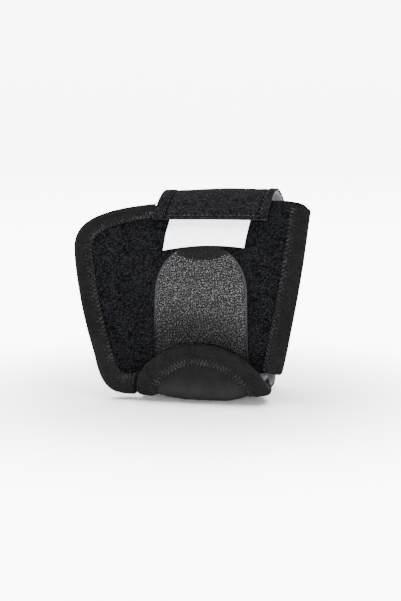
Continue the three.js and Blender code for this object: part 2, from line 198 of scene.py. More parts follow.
class CoreLine:
    """The closed line that the loop is bent along, seen from the end of the forearm opening."""

    SAMPLES = 400
    DROOP = 1.7 * MM
    DROOP_SIDE = (-24 * MM, 22 * MM)
    DROOP_HEIGHT = (90 * MM, 112 * MM)
    LIFT = 2.4 * MM
    LIFT_SIDE = (23 * MM, 44 * MM)
    LIFT_HEIGHT = (3 * MM, 28 * MM)

    def __init__(self, sizes: Sizes, stations: Sequence[Station]) -> None:
        """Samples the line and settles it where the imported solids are.

        Args:
            sizes: The sizes that the pieces share.
            stations: The line's rows, in its own direction.
        """
        outside = sizes.pad_outer + sizes.pad_crown
        depth = sizes.loop_depth - outside - sizes.strap_outer
        height = sizes.loop_height - outside - sizes.strap_outer
        ends = []
        for row in stations:
            angle = math.radians(row.heading)
            way = np.array([-math.cos(angle), math.sin(angle)])
            reach = math.hypot(depth * way[0], height * way[1])
            under = outside if row.padded else sizes.strap_outer
            spot = np.array([row.back * depth, under + row.up * height])
            ends.append((spot, way, row.before * reach, row.after * reach))
        spots, ways = [], []
        for index, (spot, way, _, after) in enumerate(ends):
            goal, heading, before, _ = ends[(index + 1) % len(ends)]
            handles = [spot, spot + way * after, goal - heading * before, goal]
            line, direction = bezier(handles, self.SAMPLES)
            spots.append(line)
            ways.append(direction)
        self.spots = np.vstack([*spots, spots[0][:1]])
        ways_all = np.vstack([*ways, ways[0][:1]])
        self.ways = ways_all / np.linalg.norm(ways_all, axis=1)[:, None]
        steps = np.linalg.norm(np.diff(self.spots, axis=0), axis=1)
        self.runs = np.concatenate([[0], np.cumsum(steps)])
        self.length = float(self.runs[-1])
        self.floor_front = float(self.runs[FLOOR_FRONT_STATION * self.SAMPLES])
        self.crest = float(self.runs[CREST_STATION * self.SAMPLES])
        self.strap_top = self.crest - sizes.strap_drop
        self.strap_bottom = self.length + self.floor_front - sizes.strap_short
        self.shift = np.zeros(3)
        self.shift = self._shift(sizes)

    def _shift(self, sizes: Sizes) -> Array:
        """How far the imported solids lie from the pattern's own frame."""
        low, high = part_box("wrap_strap")
        runs = np.linspace(self.strap_top, self.strap_bottom, self.SAMPLES)
        outer = np.column_stack([runs * 0, runs, runs * 0 + sizes.strap_outer])
        label_low, label_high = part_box("label")
        across = (label_low.x + label_high.x) / 2 - Label.SHIFT
        return np.array([across, high.y - self.bend(outer)[:, 1].max(), low.z])

    def settled(self, places: Array) -> Array:
        """Places of the standing loop: its crest droops to one side, the other side lifts off."""
        x, z = places[:, 0], places[:, 2]
        droop = self.DROOP * (1 - smooth(x, *self.DROOP_SIDE)) * smooth(z, *self.DROOP_HEIGHT)
        lift = self.LIFT * smooth(x, *self.LIFT_SIDE) * (1 - smooth(z, *self.LIFT_HEIGHT))
        return np.column_stack([places[:, :2], np.maximum(z - droop + lift, 0)])

    def bend(self, flat: Array) -> Array:
        """Bends flat places round the line.

        Args:
            flat: Rows of x, run and height.

        Returns:
            Rows of the same places in the model's frame.
        """
        run = np.mod(flat[:, 1], self.length)
        y, z = (np.interp(run, self.runs, self.spots[:, axis]) for axis in (0, 1))
        way_y, way_z = (np.interp(run, self.runs, self.ways[:, axis]) for axis in (0, 1))
        height = flat[:, 2]
        bent = np.column_stack([flat[:, 0], y - way_z * height, z + way_y * height])
        return self.settled(bent + self.shift)


class Side(Enum):
    """The faces of a cut piece."""

    INNER = 0
    OUTER = 1
    RIM = 2


def mesh_of(name: str, shape: bmesh.types.BMesh) -> bpy.types.Mesh:
    """A mesh of a shape, which is freed."""
    mesh = bpy.data.meshes.new(name)
    shape.to_mesh(mesh)
    shape.free()
    return mesh


def extruded(made: dict, kind: type) -> list:
    """The parts of one kind that an extrusion has made."""
    return [part for part in made["geom"] if isinstance(part, kind)]


def shares_mesh(name: str, columns: int, rows: int) -> bpy.types.Mesh:
    """A closed sheet of shares: x and y from 0 to 1, z 0 on its inner and 1 on its outer face.

    Args:
        name: The mesh's name.
        columns: How many faces lie across it.
        rows: How many faces lie along it.

    Returns:
        The sheet, with its faces numbered by the side that they belong to.
    """
    shape = bmesh.new()
    bmesh.ops.create_grid(shape, x_segments=columns, y_segments=rows, size=0.5)
    bmesh.ops.translate(shape, verts=shape.verts[:], vec=(0.5, 0.5, 0))
    raised = bmesh.ops.extrude_face_region(shape, geom=shape.faces[:], use_keep_orig=True)
    bmesh.ops.translate(shape, verts=extruded(raised, bmesh.types.BMVert), vec=(0, 0, 1))
    bmesh.ops.recalc_face_normals(shape, faces=shape.faces[:])
    for face in shape.faces:
        heights = {round(vert.co.z) for vert in face.verts}
        side = Side.RIM if len(heights) > 1 else Side(heights.pop())
        face.material_index = side.value
        face.smooth = True
    return mesh_of(name, shape)


def places_of(mesh: bpy.types.Mesh) -> Array:
    """The mesh's vertices as rows of three numbers."""
    flat = np.empty(len(mesh.vertices) * 3, np.float32)
    mesh.vertices.foreach_get("co", flat)
    return flat.reshape(-1, 3).astype(float)


def set_places(mesh: bpy.types.Mesh, places: Array) -> None:
    """Moves the mesh's vertices to rows of three numbers."""
    mesh.vertices.foreach_set("co", places.astype(np.float32).ravel())
    mesh.update()


def set_pattern_map(mesh: bpy.types.Mesh, spots: Array) -> None:
    """Gives the mesh a UV map in millimetres of the flat pattern, from a spot for each vertex."""
    corners = np.empty(len(mesh.loops), np.int32)
    mesh.loops.foreach_get("vertex_index", corners)
    layer = mesh.uv_layers.new(name="pattern")
    layer.uv.foreach_set("vector", (spots[corners] / MM).astype(np.float32).ravel())


def face_outwards(mesh: bpy.types.Mesh) -> None:
    """Turns the faces of a closed mesh so that they point out."""
    shape = bmesh.new()
    shape.from_mesh(mesh)
    if shape.calc_volume(signed=True) < 0:
        bmesh.ops.reverse_faces(shape, faces=shape.faces[:])
        shape.to_mesh(mesh)
    shape.free()


def moved_in(line: Array, distance: float, closed: bool) -> Array:
    """A line moved to its left by a distance."""
    if closed:
        way = np.roll(line, -1, axis=0) - np.roll(line, 1, axis=0)
    else:
        way = np.gradient(line, axis=0)
    way = way / np.linalg.norm(way, axis=1)[:, None]
    return line + np.column_stack([-way[:, 1], way[:, 0]]) * distance


def resampled(line: Array, step: float) -> tuple[Array, float]:
    """The line at even steps of about a length, and the line's own length."""
    lengths = np.concatenate([[0], np.cumsum(np.linalg.norm(np.diff(line, axis=0), axis=1))])
    marks = np.linspace(0, lengths[-1], max(int(lengths[-1] / step), 2) + 1)
    even = np.column_stack([np.interp(marks, lengths, line[:, axis]) for axis in (0, 1)])
    return even, float(lengths[-1])


def spans(line: Array, runs: Array) -> tuple[Array, Array]:
    """Left and right end of a closed outline at each run.

    Args:
        line: The outline's close points.
        runs: Places along the loop.

    Returns:
        The places across the loop where the outline is crossed, left and right.
    """
    ends = np.roll(line, -1, axis=0)
    levels, which = np.unique(runs, return_inverse=True)
    left, right = np.empty(len(levels)), np.empty(len(levels))
    for index, run in enumerate(levels):
        crossed = (line[:, 1] - run) * (ends[:, 1] - run) < 0
        start, end = line[crossed], ends[crossed]
        share = (run - start[:, 1]) / (end[:, 1] - start[:, 1])
        sides = start[:, 0] + share * (end[:, 0] - start[:, 0])
        left[index], right[index] = sides.min(), sides.max()
    return left[which], right[which]


def off_line(line: Array, x: Array, run: Array) -> tuple[Array, Array]:
    """Each place's distance from a line of close points, and how far along the line it lies."""
    steps = np.linalg.norm(np.diff(line, axis=0), axis=1)
    along = np.concatenate([[0], np.cumsum(steps)])
    far = np.hypot(x[:, None] - line[None, :, 0], run[:, None] - line[None, :, 1])
    nearest = far.argmin(axis=1)
    return far[np.arange(len(x)), nearest], along[nearest]


class Value:
    """A number or colour in a shader, whose sums add Math nodes."""

    def __init__(self, nodes: "Nodes", socket: bpy.types.NodeSocket) -> None:
        """Wraps an output socket."""
        self.nodes = nodes
        self.socket = socket

    def _sum(self, operation: str, first: "Value | float", second: "Value | float") -> "Value":
        """The result of a Math node on two values."""
        return self.nodes.add("ShaderNodeMath", {"operation": operation}, {0: first, 1: second})

    def __add__(self, other: "Value | float") -> "Value":
        """Adds."""
        return self._sum("ADD", self, other)

    __radd__ = __add__

    def __sub__(self, other: "Value | float") -> "Value":
        """Takes other away."""
        return self._sum("SUBTRACT", self, other)

    def __rsub__(self, other: float) -> "Value":
        """Takes this away from a number."""
        return self._sum("SUBTRACT", other, self)

    def __mul__(self, other: "Value | float") -> "Value":
        """Multiplies."""
        return self._sum("MULTIPLY", self, other)

    __rmul__ = __mul__

    def sine(self) -> "Value":
        """The sine."""
        return self._sum("SINE", self, 0.0)

    def wave(self, length: float) -> "Value":
        """Waves of a length, from 0 to 1."""
        return (self * (2 * math.pi / length)).sine() * 0.5 + 0.5

    def size(self) -> "Value":
        """The value without its sign."""
        return self._sum("ABSOLUTE", self, 0.0)

    def step(self, low: float, high: float) -> "Value":
        """From 0 at low to 1 at high, softly."""
        settings = {"interpolation_type": "SMOOTHSTEP"}
        return self.nodes.add("ShaderNodeMapRange", settings, {"Value": self, 1: low, 2: high})


Input = Value | float | tuple[float, ...]


class Nodes:
    """The node tree of one material."""

    def __init__(self, name: str) -> None:
        """Makes a material with only a Principled shader in it.

        Args:
            name: The material's name.
        """
        self.material = bpy.data.materials.new(name)
        self.material.use_nodes = True
        self.tree = self.material.node_tree
        self.shader = self.tree.nodes["Principled BSDF"]

    def add(self, kind: str, settings: dict, inputs: dict, output: int | str = 0) -> Value:
        """Adds any node.

        Args:
            kind: The node's type.
            settings: Its own settings, set first.
            inputs: Numbers, colours or values for its sockets.
            output: The socket that is wanted.

        Returns:
            The value of that socket.
        """
        node = self.tree.nodes.new(kind)
        for key, setting in settings.items():
            setattr(node, key, setting)
        for key, value in inputs.items():
            self._feed(node.inputs[key], value)
        return Value(self, node.outputs[output])

    def _feed(self, socket: bpy.types.NodeSocket, value: Input) -> None:
        """Links a value to a socket, or sets it.

        Args:
            socket: The input socket.
            value: A value to link, or a number or colour to set.
        """
        if isinstance(value, Value):
            self.tree.links.new(value.socket, socket)
        else:
            socket.default_value = value

    def drive(self, name: str, value: Input) -> None:
        """Sets or links a socket of the shader."""
        self._feed(self.shader.inputs[name], value)

    def pattern(self) -> Value:
        """Places on the flat pattern, in millimetres."""
        return self.add("ShaderNodeUVMap", {"uv_map": "pattern"}, {})

    def place(self) -> Value:
        """Places in the model's frame."""
        return self.add("ShaderNodeTexCoord", {}, {}, "Object")

    def height(self) -> Value:
        """Height above the floor."""
        return self.add("ShaderNodeSeparateXYZ", {}, {0: self.place()}, "Z")

    def mask(self, name: str) -> Value:
        """A mask that the mesh carries, from 0 to 1."""
        return self.add("ShaderNodeAttribute", {"attribute_name": name}, {}, "Fac")

    def parts(self, vector: Value) -> tuple[Value, Value]:
        """A vector's first two numbers."""
        first = self.add("ShaderNodeSeparateXYZ", {}, {0: vector}, "X")
        return first, Value(self, first.socket.node.outputs["Y"])

    def grain(self, vector: Value, size: float, detail: float = 2.0) -> Value:
        """Noise from 0 to 1 with grains of a size, in the vector's own unit."""
        inputs = {"Vector": vector, "Scale": 1 / size, "Detail": detail, "Roughness": 0.6}
        return self.add("ShaderNodeTexNoise", {}, inputs)

    def cells(self, vector: Value, size: float) -> Value:
        """Distance from the middle of the nearest of many scattered cells of a size."""
        return self.add("ShaderNodeTexVoronoi", {}, {"Vector": vector, "Scale": 1 / size})

    def between(self, share: Input, first: Input, second: Input) -> Value:
        """A mix of two colours."""
        inputs = {"Factor": share, 6: first, 7: second}
        return self.add("ShaderNodeMix", {"data_type": "RGBA"}, inputs, 2)

    def surface(self, colour: Input, roughness: Input, height: Value, depth: float) -> None:
        """Colours the surface and makes it stand up by a value times a depth.

        Args:
            colour: The base colour.
            roughness: The roughness.
            height: The value that it stands up by.
            depth: The depth that the value is times.
        """
        self.drive("Base Color", colour)
        self.drive("Roughness", roughness)
        self.drive("Normal", self.add("ShaderNodeBump", {}, {"Height": height, "Distance": depth}))


def shade(colour: Sequence[float], share: float) -> tuple[float, ...]:
    """A colour made lighter or darker, with its alpha."""
    return (*(min(part * share, 1) for part in colour), 1)


@dataclass(frozen=True)
class Cloth:
    """What all finishes share."""

    name: str
    colour: tuple[float, float, float]
    sheen: float = 0.0
    gloss: float = 0.06

    def make(self) -> bpy.types.Material:
        """The finish as a material.

        Returns:
            The material, with what the finishes share and the finish's own pattern.
        """
        nodes = Nodes(self.name)
        nodes.drive("Sheen Weight", self.sheen)
        nodes.drive("Specular IOR Level", self.gloss)
        self.dress(nodes)
        return nodes.material

    def dress(self, nodes: Nodes) -> None:
        """Adds the finish's own pattern, which each finish brings."""
        raise NotImplementedError

    def tones(self, nodes: Nodes, lit: Value, dark: float, light: float) -> Value:
        """The finish's colour, darker or lighter.

        Args:
            nodes: The material's nodes.
            lit: Where between the two tones it is, from 0 to 1.
            dark: The share of its colour that the darker tone has.
            light: The share that the lighter tone has.

        Returns:
            The colour between the two tones.
        """
        return nodes.between(lit, shade(self.colour, dark), shade(self.colour, light))


@dataclass(frozen=True)
class Plush(Cloth):
    """Brushed loop pile: a tangle of fine curls with lighter fibre ends, partly painted glints of light.
    """

    curl: float = 0.95
    tangle: float = 0.7
    patch: float = 9.0
    fibre: float = 0.9
    depth: float = 0.4 * MM

    def dress(self, nodes: Nodes) -> None:
        """Curls, fibre ends that are partly painted glints of light, and brushed patches.

        Args:
            nodes: The material's nodes.
        """
        place = nodes.pattern()
        curls = nodes.cells(place, self.curl)
        tangle = nodes.grain(place, self.tangle, 3.0)
        patches = nodes.grain(place, self.patch)
        ends = nodes.grain(place, self.fibre, 1.0).step(0.62, 0.76)
        pile = tangle * 0.65 + (1 - curls) * 0.35
        lit = pile.step(0.44, 0.7) * 0.9 + patches.step(0.35, 0.7) * 0.1
        cloth = self.tones(nodes, lit, 0.2, 2.4)
        # Lighter fibre ends, partly painted glints of light on the pile.
        colour = nodes.between(ends, cloth, shade(self.colour, 3.4))
        nodes.surface(colour, 0.82 + 0.16 * tangle, pile, self.depth)


@dataclass(frozen=True)
class KnitTape(Cloth):
    """Knitted edge binding: fine ribs across the tape and a little fuzz, paler towards the floor."""

    rib: float = 0.9
    fuzz: float = 0.9
    patch: float = 4.5
    depth: float = 0.1 * MM
    pale_from: float = 12 * MM
    pale_to: float = 45 * MM

    def dress(self, nodes: Nodes) -> None:
        """Ribs, fuzz and patches, paler towards the floor.

        Args:
            nodes: The material's nodes.
        """
        place = nodes.pattern()
        along, across = nodes.parts(place)
        fuzz = nodes.grain(place, self.fuzz, 3.0)
        wear = nodes.grain(place, self.patch, 3.0)
        ribs = (along + 0.35 * fuzz).wave(self.rib)
        rows = across.wave(self.rib * 0.7)
        knit = ribs * 0.2 + rows * 0.1 + fuzz * 0.7
        lit = knit.step(0.3, 0.72) * 0.8 + wear.step(0.35, 0.65) * 0.2
        upper_tone = self.tones(nodes, lit, 0.28, 1.5)
        low_tone = self.tones(nodes, lit, 0.4, 2.3)
        near_floor = 1 - nodes.height().step(self.pale_from, self.pale_to)
        colour = nodes.between(near_floor, upper_tone, low_tone)
        nodes.surface(colour, 0.78 + 0.18 * fuzz, knit, self.depth)


@dataclass(frozen=True)
class Jersey(Cloth):
    """Smooth jersey: columns of small knitted loops, paler low down with painted light bounced up from
    the floor.
    """

    wale: float = 0.7
    course: float = 0.55
    fuzz: float = 1.0
    patch: float = 6.0
    depth: float = 0.06 * MM
    pale_from: float = 2 * MM
    pale_to: float = 17 * MM

    def dress(self, nodes: Nodes) -> None:
        """Knitted loops and soft patches, paler low down with painted light bounced up from the floor.

        Args:
            nodes: The material's nodes.
        """
        place = nodes.pattern()
        x, run = nodes.parts(place)
        wales = (x * (math.pi / self.wale)).sine().size()
        courses = (run * (1 / self.course) + wales * 0.35).wave(1)
        fuzz = nodes.grain(place, self.fuzz, 3.0)
        patches = nodes.grain(place, self.patch, 3.0)
        knit = wales * 0.4 + courses * 0.2 + fuzz * 0.5
        lit = knit.step(0.3, 0.8) * 0.75 + patches.step(0.35, 0.65) * 0.25
        knitted = self.tones(nodes, lit, 0.55, 1.3)
        # Painted light: the paler tone that light bounced off the floor gives the pad low down.
        low_tone = self.tones(nodes, lit, 1.4, 3.2)
        near_floor = 1 - nodes.height().step(self.pale_from, self.pale_to)
        colour = nodes.between(near_floor, knitted, low_tone)
        nodes.surface(colour, 0.75 + 0.15 * fuzz, knit, self.depth)


@dataclass(frozen=True)
class LoopCloth(Cloth):
    """The strap's short loop cloth: fine and dense, with lint caught in it."""

    loop: float = 0.9
    patch: float = 6.0
    lint: float = 1.1
    depth: float = 0.35 * MM

    def dress(self, nodes: Nodes) -> None:
        """Loops, lint and painted shade in the creases beside the hems.

        Args:
            nodes: The material's nodes.
        """
        place = nodes.pattern()
        loops = nodes.grain(place, self.loop, 3.0)
        curls = nodes.cells(place, self.loop * 1.3)
        patches = nodes.grain(place, self.patch)
        lint = nodes.grain(place, self.lint, 1.0).step(0.62, 0.74)
        pile = loops * 0.65 + (1 - curls) * 0.35
        lit = pile.step(0.44, 0.7) * 0.85 + patches.step(0.3, 0.7) * 0.15
        cloth = self.tones(nodes, lit, 0.3, 2.2)
        linty = nodes.between(lint, cloth, shade(self.colour, 3.2))
        crease = nodes.mask("crease")
        # Painted shade darkens the crease beside each hem.
        colour = nodes.between(crease, linty, shade(self.colour, 0.15))
        nodes.surface(colour, 0.8 + 0.18 * loops, pile, self.depth)


@dataclass(frozen=True)
class BrushedLining(Cloth):
    """A short nap: the pale grey lining, and the cut edges of strap and tab."""

    nap: float = 0.45
    patch: float = 12.0
    depth: float = 0.1 * MM

    def dress(self, nodes: Nodes) -> None:
        """Nap and soft patches.

        Args:
            nodes: The material's nodes.
        """
        place = nodes.pattern()
        nap = nodes.grain(place, self.nap, 3.0)
        patches = nodes.grain(place, self.patch)
        lit = nap * 0.6 + patches * 0.4
        colour = self.tones(nodes, lit.step(0.3, 0.7), 0.6, 1.35)
        nodes.surface(colour, 0.8 + 0.15 * nap, nap, self.depth)


@dataclass(frozen=True)
class Satin(Cloth):
    """Woven satin: fine floats across a plain white ground."""

    float_width: float = 0.22
    tie: float = 1.1
    slub: float = 0.6
    patch: float = 6.0
    depth: float = 0.03 * MM

    def dress(self, nodes: Nodes) -> None:
        """Floats and faint unevenness.

        Args:
            nodes: The material's nodes.
        """
        place = nodes.pattern()
        x, run = nodes.parts(place)
        lines = run.wave(self.float_width)
        ties = (x + run * 0.8).wave(self.tie)
        weave = lines * 0.6 + ties * 0.25 + nodes.grain(place, self.slub) * 0.3
        tone = nodes.grain(place, self.patch)
        colour = self.tones(nodes, tone.step(0.3, 0.7), 0.95, 1.04)
        nodes.surface(colour, 0.4 + 0.2 * weave, weave, self.depth)


@dataclass(frozen=True)
class HookTape(Cloth):
    """What the parts of the hook tape share: painted shade in the hollow above the pad and a lighter
    painted shadow under the label.
    """

    shaded_hollow: tuple[float, float, float] = (2.6 * MM, -26 * MM, 4 * MM)
    shade_near: float = 33 * MM
    shade_far: float = 57 * MM
    label_shadow: float = 0.35
    label_low: float = 82 * MM
    label_high: float = 95 * MM

    def out_of_painted_shade(self, nodes: Nodes) -> Value:
        """How far a place is out of the painted shade above the pad, a little less in the painted shadow
        under the label.

        Args:
            nodes: The material's nodes.

        Returns:
            A value from 0 in the painted shade to 1.
        """
        ends = {0: nodes.place(), 1: self.shaded_hollow}
        away = nodes.add("ShaderNodeVectorMath", {"operation": "DISTANCE"}, ends, "Value")
        label_shaded = self.label_shadow * nodes.height().step(self.label_low, self.label_high)
        return away.step(self.shade_near, self.shade_far) * (1 - label_shaded)


@dataclass(frozen=True)
class HookGround(HookTape):
    """Ground of the hook tape: woven, with paler selvages and a smooth dark thumb grip."""

    rib: float = 1.05
    fleck: float = 0.9
    depth: float = 0.12 * MM

    def dress(self, nodes: Nodes) -> None:
        """Ribs and fleck, faded out on the grip, with painted shade above the pad and under the label.

        Args:
            nodes: The material's nodes.
        """
        place = nodes.pattern()
        _, run = nodes.parts(place)
        grip = nodes.mask("grip")
        selvage = nodes.mask("selvage")
        ribs = run.wave(self.rib)
        fleck = nodes.grain(place, self.fleck, 3.0)
        relief = (ribs * 0.5 + fleck * 0.6) * (1 - grip)
        lit = fleck.step(0.35, 0.7) * 0.6 + ribs * 0.4
        tone = self.tones(nodes, lit, 0.4, 1.6)
        edge = self.tones(nodes, lit, 1.6, 4.0)
        woven = nodes.between(selvage, tone, edge)
        # Painted shade above the pad and under the label darkens the woven ground.
        woven = nodes.between(self.out_of_painted_shade(nodes), shade(self.colour, 0.4), woven)
        film = self.tones(nodes, fleck.step(0.35, 0.65), 0.15, 1.1)
        colour = nodes.between(grip, woven, film)
        nodes.surface(colour, 0.7 - 0.14 * grip, relief, self.depth)


@dataclass(frozen=True)
class HookPlastic(HookTape):
    """The hooks themselves: pale nylon that differs a little from hook to hook, darkened by painted
    shade above the pad and under the label.
    """

    patch: float = 1.0 * MM
    depth: float = 0.05 * MM

    def dress(self, nodes: Nodes) -> None:
        """Tone from hook to hook, with painted shade above the pad and under the label.

        Args:
            nodes: The material's nodes.
        """
        tone = nodes.grain(nodes.place(), self.patch, 1.0)
        lit = tone.step(0.34, 0.68)
        unshaded = self.tones(nodes, lit, 0.3, 1.9)
        # Painted shade: the darker tone of the hooks in the hollow above the pad.
        shaded_hollow = self.tones(nodes, lit, 0.1, 0.55)
        colour = nodes.between(self.out_of_painted_shade(nodes), shaded_hollow, unshaded)
        nodes.surface(colour, 0.45 + 0.2 * tone, tone, self.depth)


@dataclass(frozen=True)
class SewingThread(Cloth):
    """Spun sewing thread, with its twist and a change of tone along it."""

    twist: float = 0.3 * MM
    patch: float = 5 * MM
    depth: float = 0.05 * MM

    def dress(self, nodes: Nodes) -> None:
        """Twist and tone.

        Args:
            nodes: The material's nodes.
        """
        place = nodes.place()
        x, y = nodes.parts(place)
        lay = (x + y).wave(self.twist)
        tone = nodes.grain(place, self.patch)
        colour = self.tones(nodes, tone.step(0.38, 0.66), 0.55, 1.8)
        nodes.surface(colour, 0.6 + 0.2 * tone, lay, self.depth)


@dataclass(frozen=True)
class Backdrop(Cloth):
    """Pale seamless floor that glows with painted light as if lit from beneath, except near the strap,
    where the unlit floor is a painted shadow.
    """

    roughness: float = 0.9
    tooth: float = 2 * MM
    depth: float = 0.02 * MM
    painted_glow: float = 6.5
    near: float = 0.06
    far: float = 0.22
    top: float = 0.6
    fade: float = 0.15

    def dress(self, nodes: Nodes) -> None:
        """An even tone with the faintest tooth, and the painted glow, which fades in away from the strap
        and fades out high up the cove.

        Args:
            nodes: The material's nodes.
        """
        place = nodes.place()
        tooth = nodes.grain(place, self.tooth)
        away = nodes.add("ShaderNodeVectorMath", {"operation": "LENGTH"}, {0: place}, "Value")
        low = 1 - nodes.height().step(self.top, self.top + self.fade)
        share = away.step(self.near, self.far) * low
        nodes.surface(shade(self.colour, 1), self.roughness, tooth, self.depth)
        # Painted glow, which leaves the floor near the strap unlit as a painted shadow.
        nodes.drive("Emission Color", self.tones(nodes, share, 0, 1))
        nodes.drive("Emission Strength", self.painted_glow)


class Finishes:
    """Every finish of the strap, made once."""

    def __init__(self) -> None:
        """Makes the materials."""
        plush = Plush("plush", (0.0044, 0.0046, 0.0054), gloss=0.004, sheen=0.004)
        tape = KnitTape("binding", (0.0046, 0.0046, 0.0048), gloss=0.01, sheen=0.006)
        jersey = Jersey("jersey", (0.0062, 0.0062, 0.0062), gloss=0.02, sheen=0.01)
        cloth = LoopCloth("strap_cloth", (0.0053, 0.0054, 0.0061), gloss=0.008, sheen=0.008)
        self.plush = plush.make()
        self.tape = tape.make()
        self.jersey = jersey.make()
        self.loop_cloth = cloth.make()
        self.cut_edge = BrushedLining("cut_edge", (0.011, 0.011, 0.012), gloss=0.01).make()
        self.lining = BrushedLining("lining", (0.062, 0.0635, 0.066), sheen=0.02).make()
        self.satin = Satin("label_satin", (0.93, 0.94, 0.96), gloss=0.3).make()
        self.hook_ground = HookGround("hook_ground", (0.0072, 0.0074, 0.0076), gloss=0.02).make()
        self.hook_edge = BrushedLining("hook_edge", (0.02, 0.02, 0.0205)).make()
        self.hooks = HookPlastic("hook_tape", (0.06, 0.06, 0.0615), gloss=0.1).make()
        self.thread = SewingThread("thread", (0.014, 0.014, 0.0145)).make()
        self.pale_thread = SewingThread("bright_thread", (0.019, 0.019, 0.0197)).make()
        self.floor = Backdrop("floor", (0.93, 0.93, 0.93), gloss=0.1).make()


def put(name: str, data: bpy.types.ID) -> bpy.types.Object:
    """Puts a mesh, a lamp or a camera into the scene."""
    made = bpy.data.objects.new(name, data)
    bpy.context.scene.collection.objects.link(made)
    return made


def finished(
    mesh: bpy.types.Mesh,
    materials: Sequence[bpy.types.Material],
    replaces: Sequence[str] = (),
) -> bpy.types.Object:
    """Puts a bent mesh into the scene as a piece of the strap.

    Args:
        mesh: The piece's mesh, in the model's frame.
        materials: Its finishes, by the mesh's material numbers.
        replaces: The solids that it stands for.

    Returns:
        The piece.
    """
    for material in materials:
        mesh.materials.append(material)
    piece = put(mesh.name, mesh)
    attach(piece, "root")
    if replaces:
        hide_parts(*replaces)
    LOG.info("%s: %d faces", mesh.name, len(mesh.polygons))
    return piece


def round_edges(piece: bpy.types.Object, width: float) -> None:
    """Rounds the edges of a cut piece."""
    bevel = piece.modifiers.new("rounded", "BEVEL")
    bevel.width = width
    bevel.segments = 2
    bevel.limit_method = "ANGLE"
    bevel.angle_limit = math.radians(50)


@dataclass
class SubAssembly:
    """A part of the strap, made of pieces that are cut flat and bent round the core line."""

    core: CoreLine
    finishes: Finishes

    def build(self) -> None:
        """Makes the pieces, which each part brings."""
        raise NotImplementedError

    def cut(
        self, name: str, grid: tuple[int, int], spots: Spots, faces: tuple[Field, Field], **masks: Field
    ) -> bpy.types.Mesh:
        """Cuts, pads and bends a sheet.

        Args:
            name: The sheet's name.
            grid: How many columns and rows of faces it has.
            spots: The place on the flat pattern of shares across and along the sheet.
            faces: Heights of the inner and of the outer face at places on the pattern.
            masks: Masks for the sheet's finishes, by name.

        Returns:
            The bent mesh, mapped by its pattern.
        """
        mesh = shares_mesh(name, *grid)
        shares = places_of(mesh)
        x, run = spots(shares[:, 0], shares[:, 1])
        inner, outer = (face(x, run) for face in faces)
        height = np.where(shares[:, 2] > 0.5, outer, inner)
        set_pattern_map(mesh, np.column_stack([x, run]))
        set_places(mesh, self.core.bend(np.column_stack([x, run, height])))
        face_outwards(mesh)
        for title, mask in masks.items():
            attribute = mesh.attributes.new(title, "FLOAT", "POINT")
            attribute.data.foreach_set("value", mask(x, run).astype(np.float32))
        return mesh


@dataclass(frozen=True)
class Turn:
    """A curve of an outline: shares of its width and length at its end and handles."""

    side: float
    rise: float
    first: tuple[float, float] = (0.0, 0.0)
    second: tuple[float, float] = (0.0, 0.0)


CURVE_STEPS = 60
PANEL_TURNS = (
    Turn(0.358, 0.094),
    Turn(0.455, 0.945, (0.405, 0.349), (0.449, 0.661)),
    Turn(0.297, 1.012, (0.439, 0.99), (0.385, 1.012)),
    Turn(-0.545, 0.698, (-0.172, 1.005), (-0.572, 0.955)),
    Turn(-0.443, 0.165, (-0.539, 0.597), (-0.479, 0.295)),
    Turn(-0.281, 0, (-0.419, 0.062), (-0.365, -0.008)),
    Turn(0.358, 0.094, (-0.078, 0.02), (0.195, 0.066)),
)
PAD_TURNS = (
    Turn(0.84, 0),
    Turn(1, 0.42, (0.93, 0.12), (1, 0.26)),
    Turn(0, 1, (1, 0.66), (0.56, 1)),
)


def outline(turns: Sequence[Turn], width: float, low: float, length: float) -> list[Array]:
    """The curves of an outline.

    Args:
        turns: The outline's start and its curves.
        width: What the turns' sides are shares of.
        low: The run where their rise is 0.
        length: What their rises are shares of.

    Returns:
        For each curve close points, without its end.
    """
    scale, base = np.array([width, length]), np.array([0, low])
    curves = []
    for start, turn in zip(turns, turns[1:]):
        points = [(start.side, start.rise), turn.first, turn.second, (turn.side, turn.rise)]
        placed = [np.array(point) * scale + base for point in points]
        curves.append(bezier(placed, CURVE_STEPS)[0])
    return curves


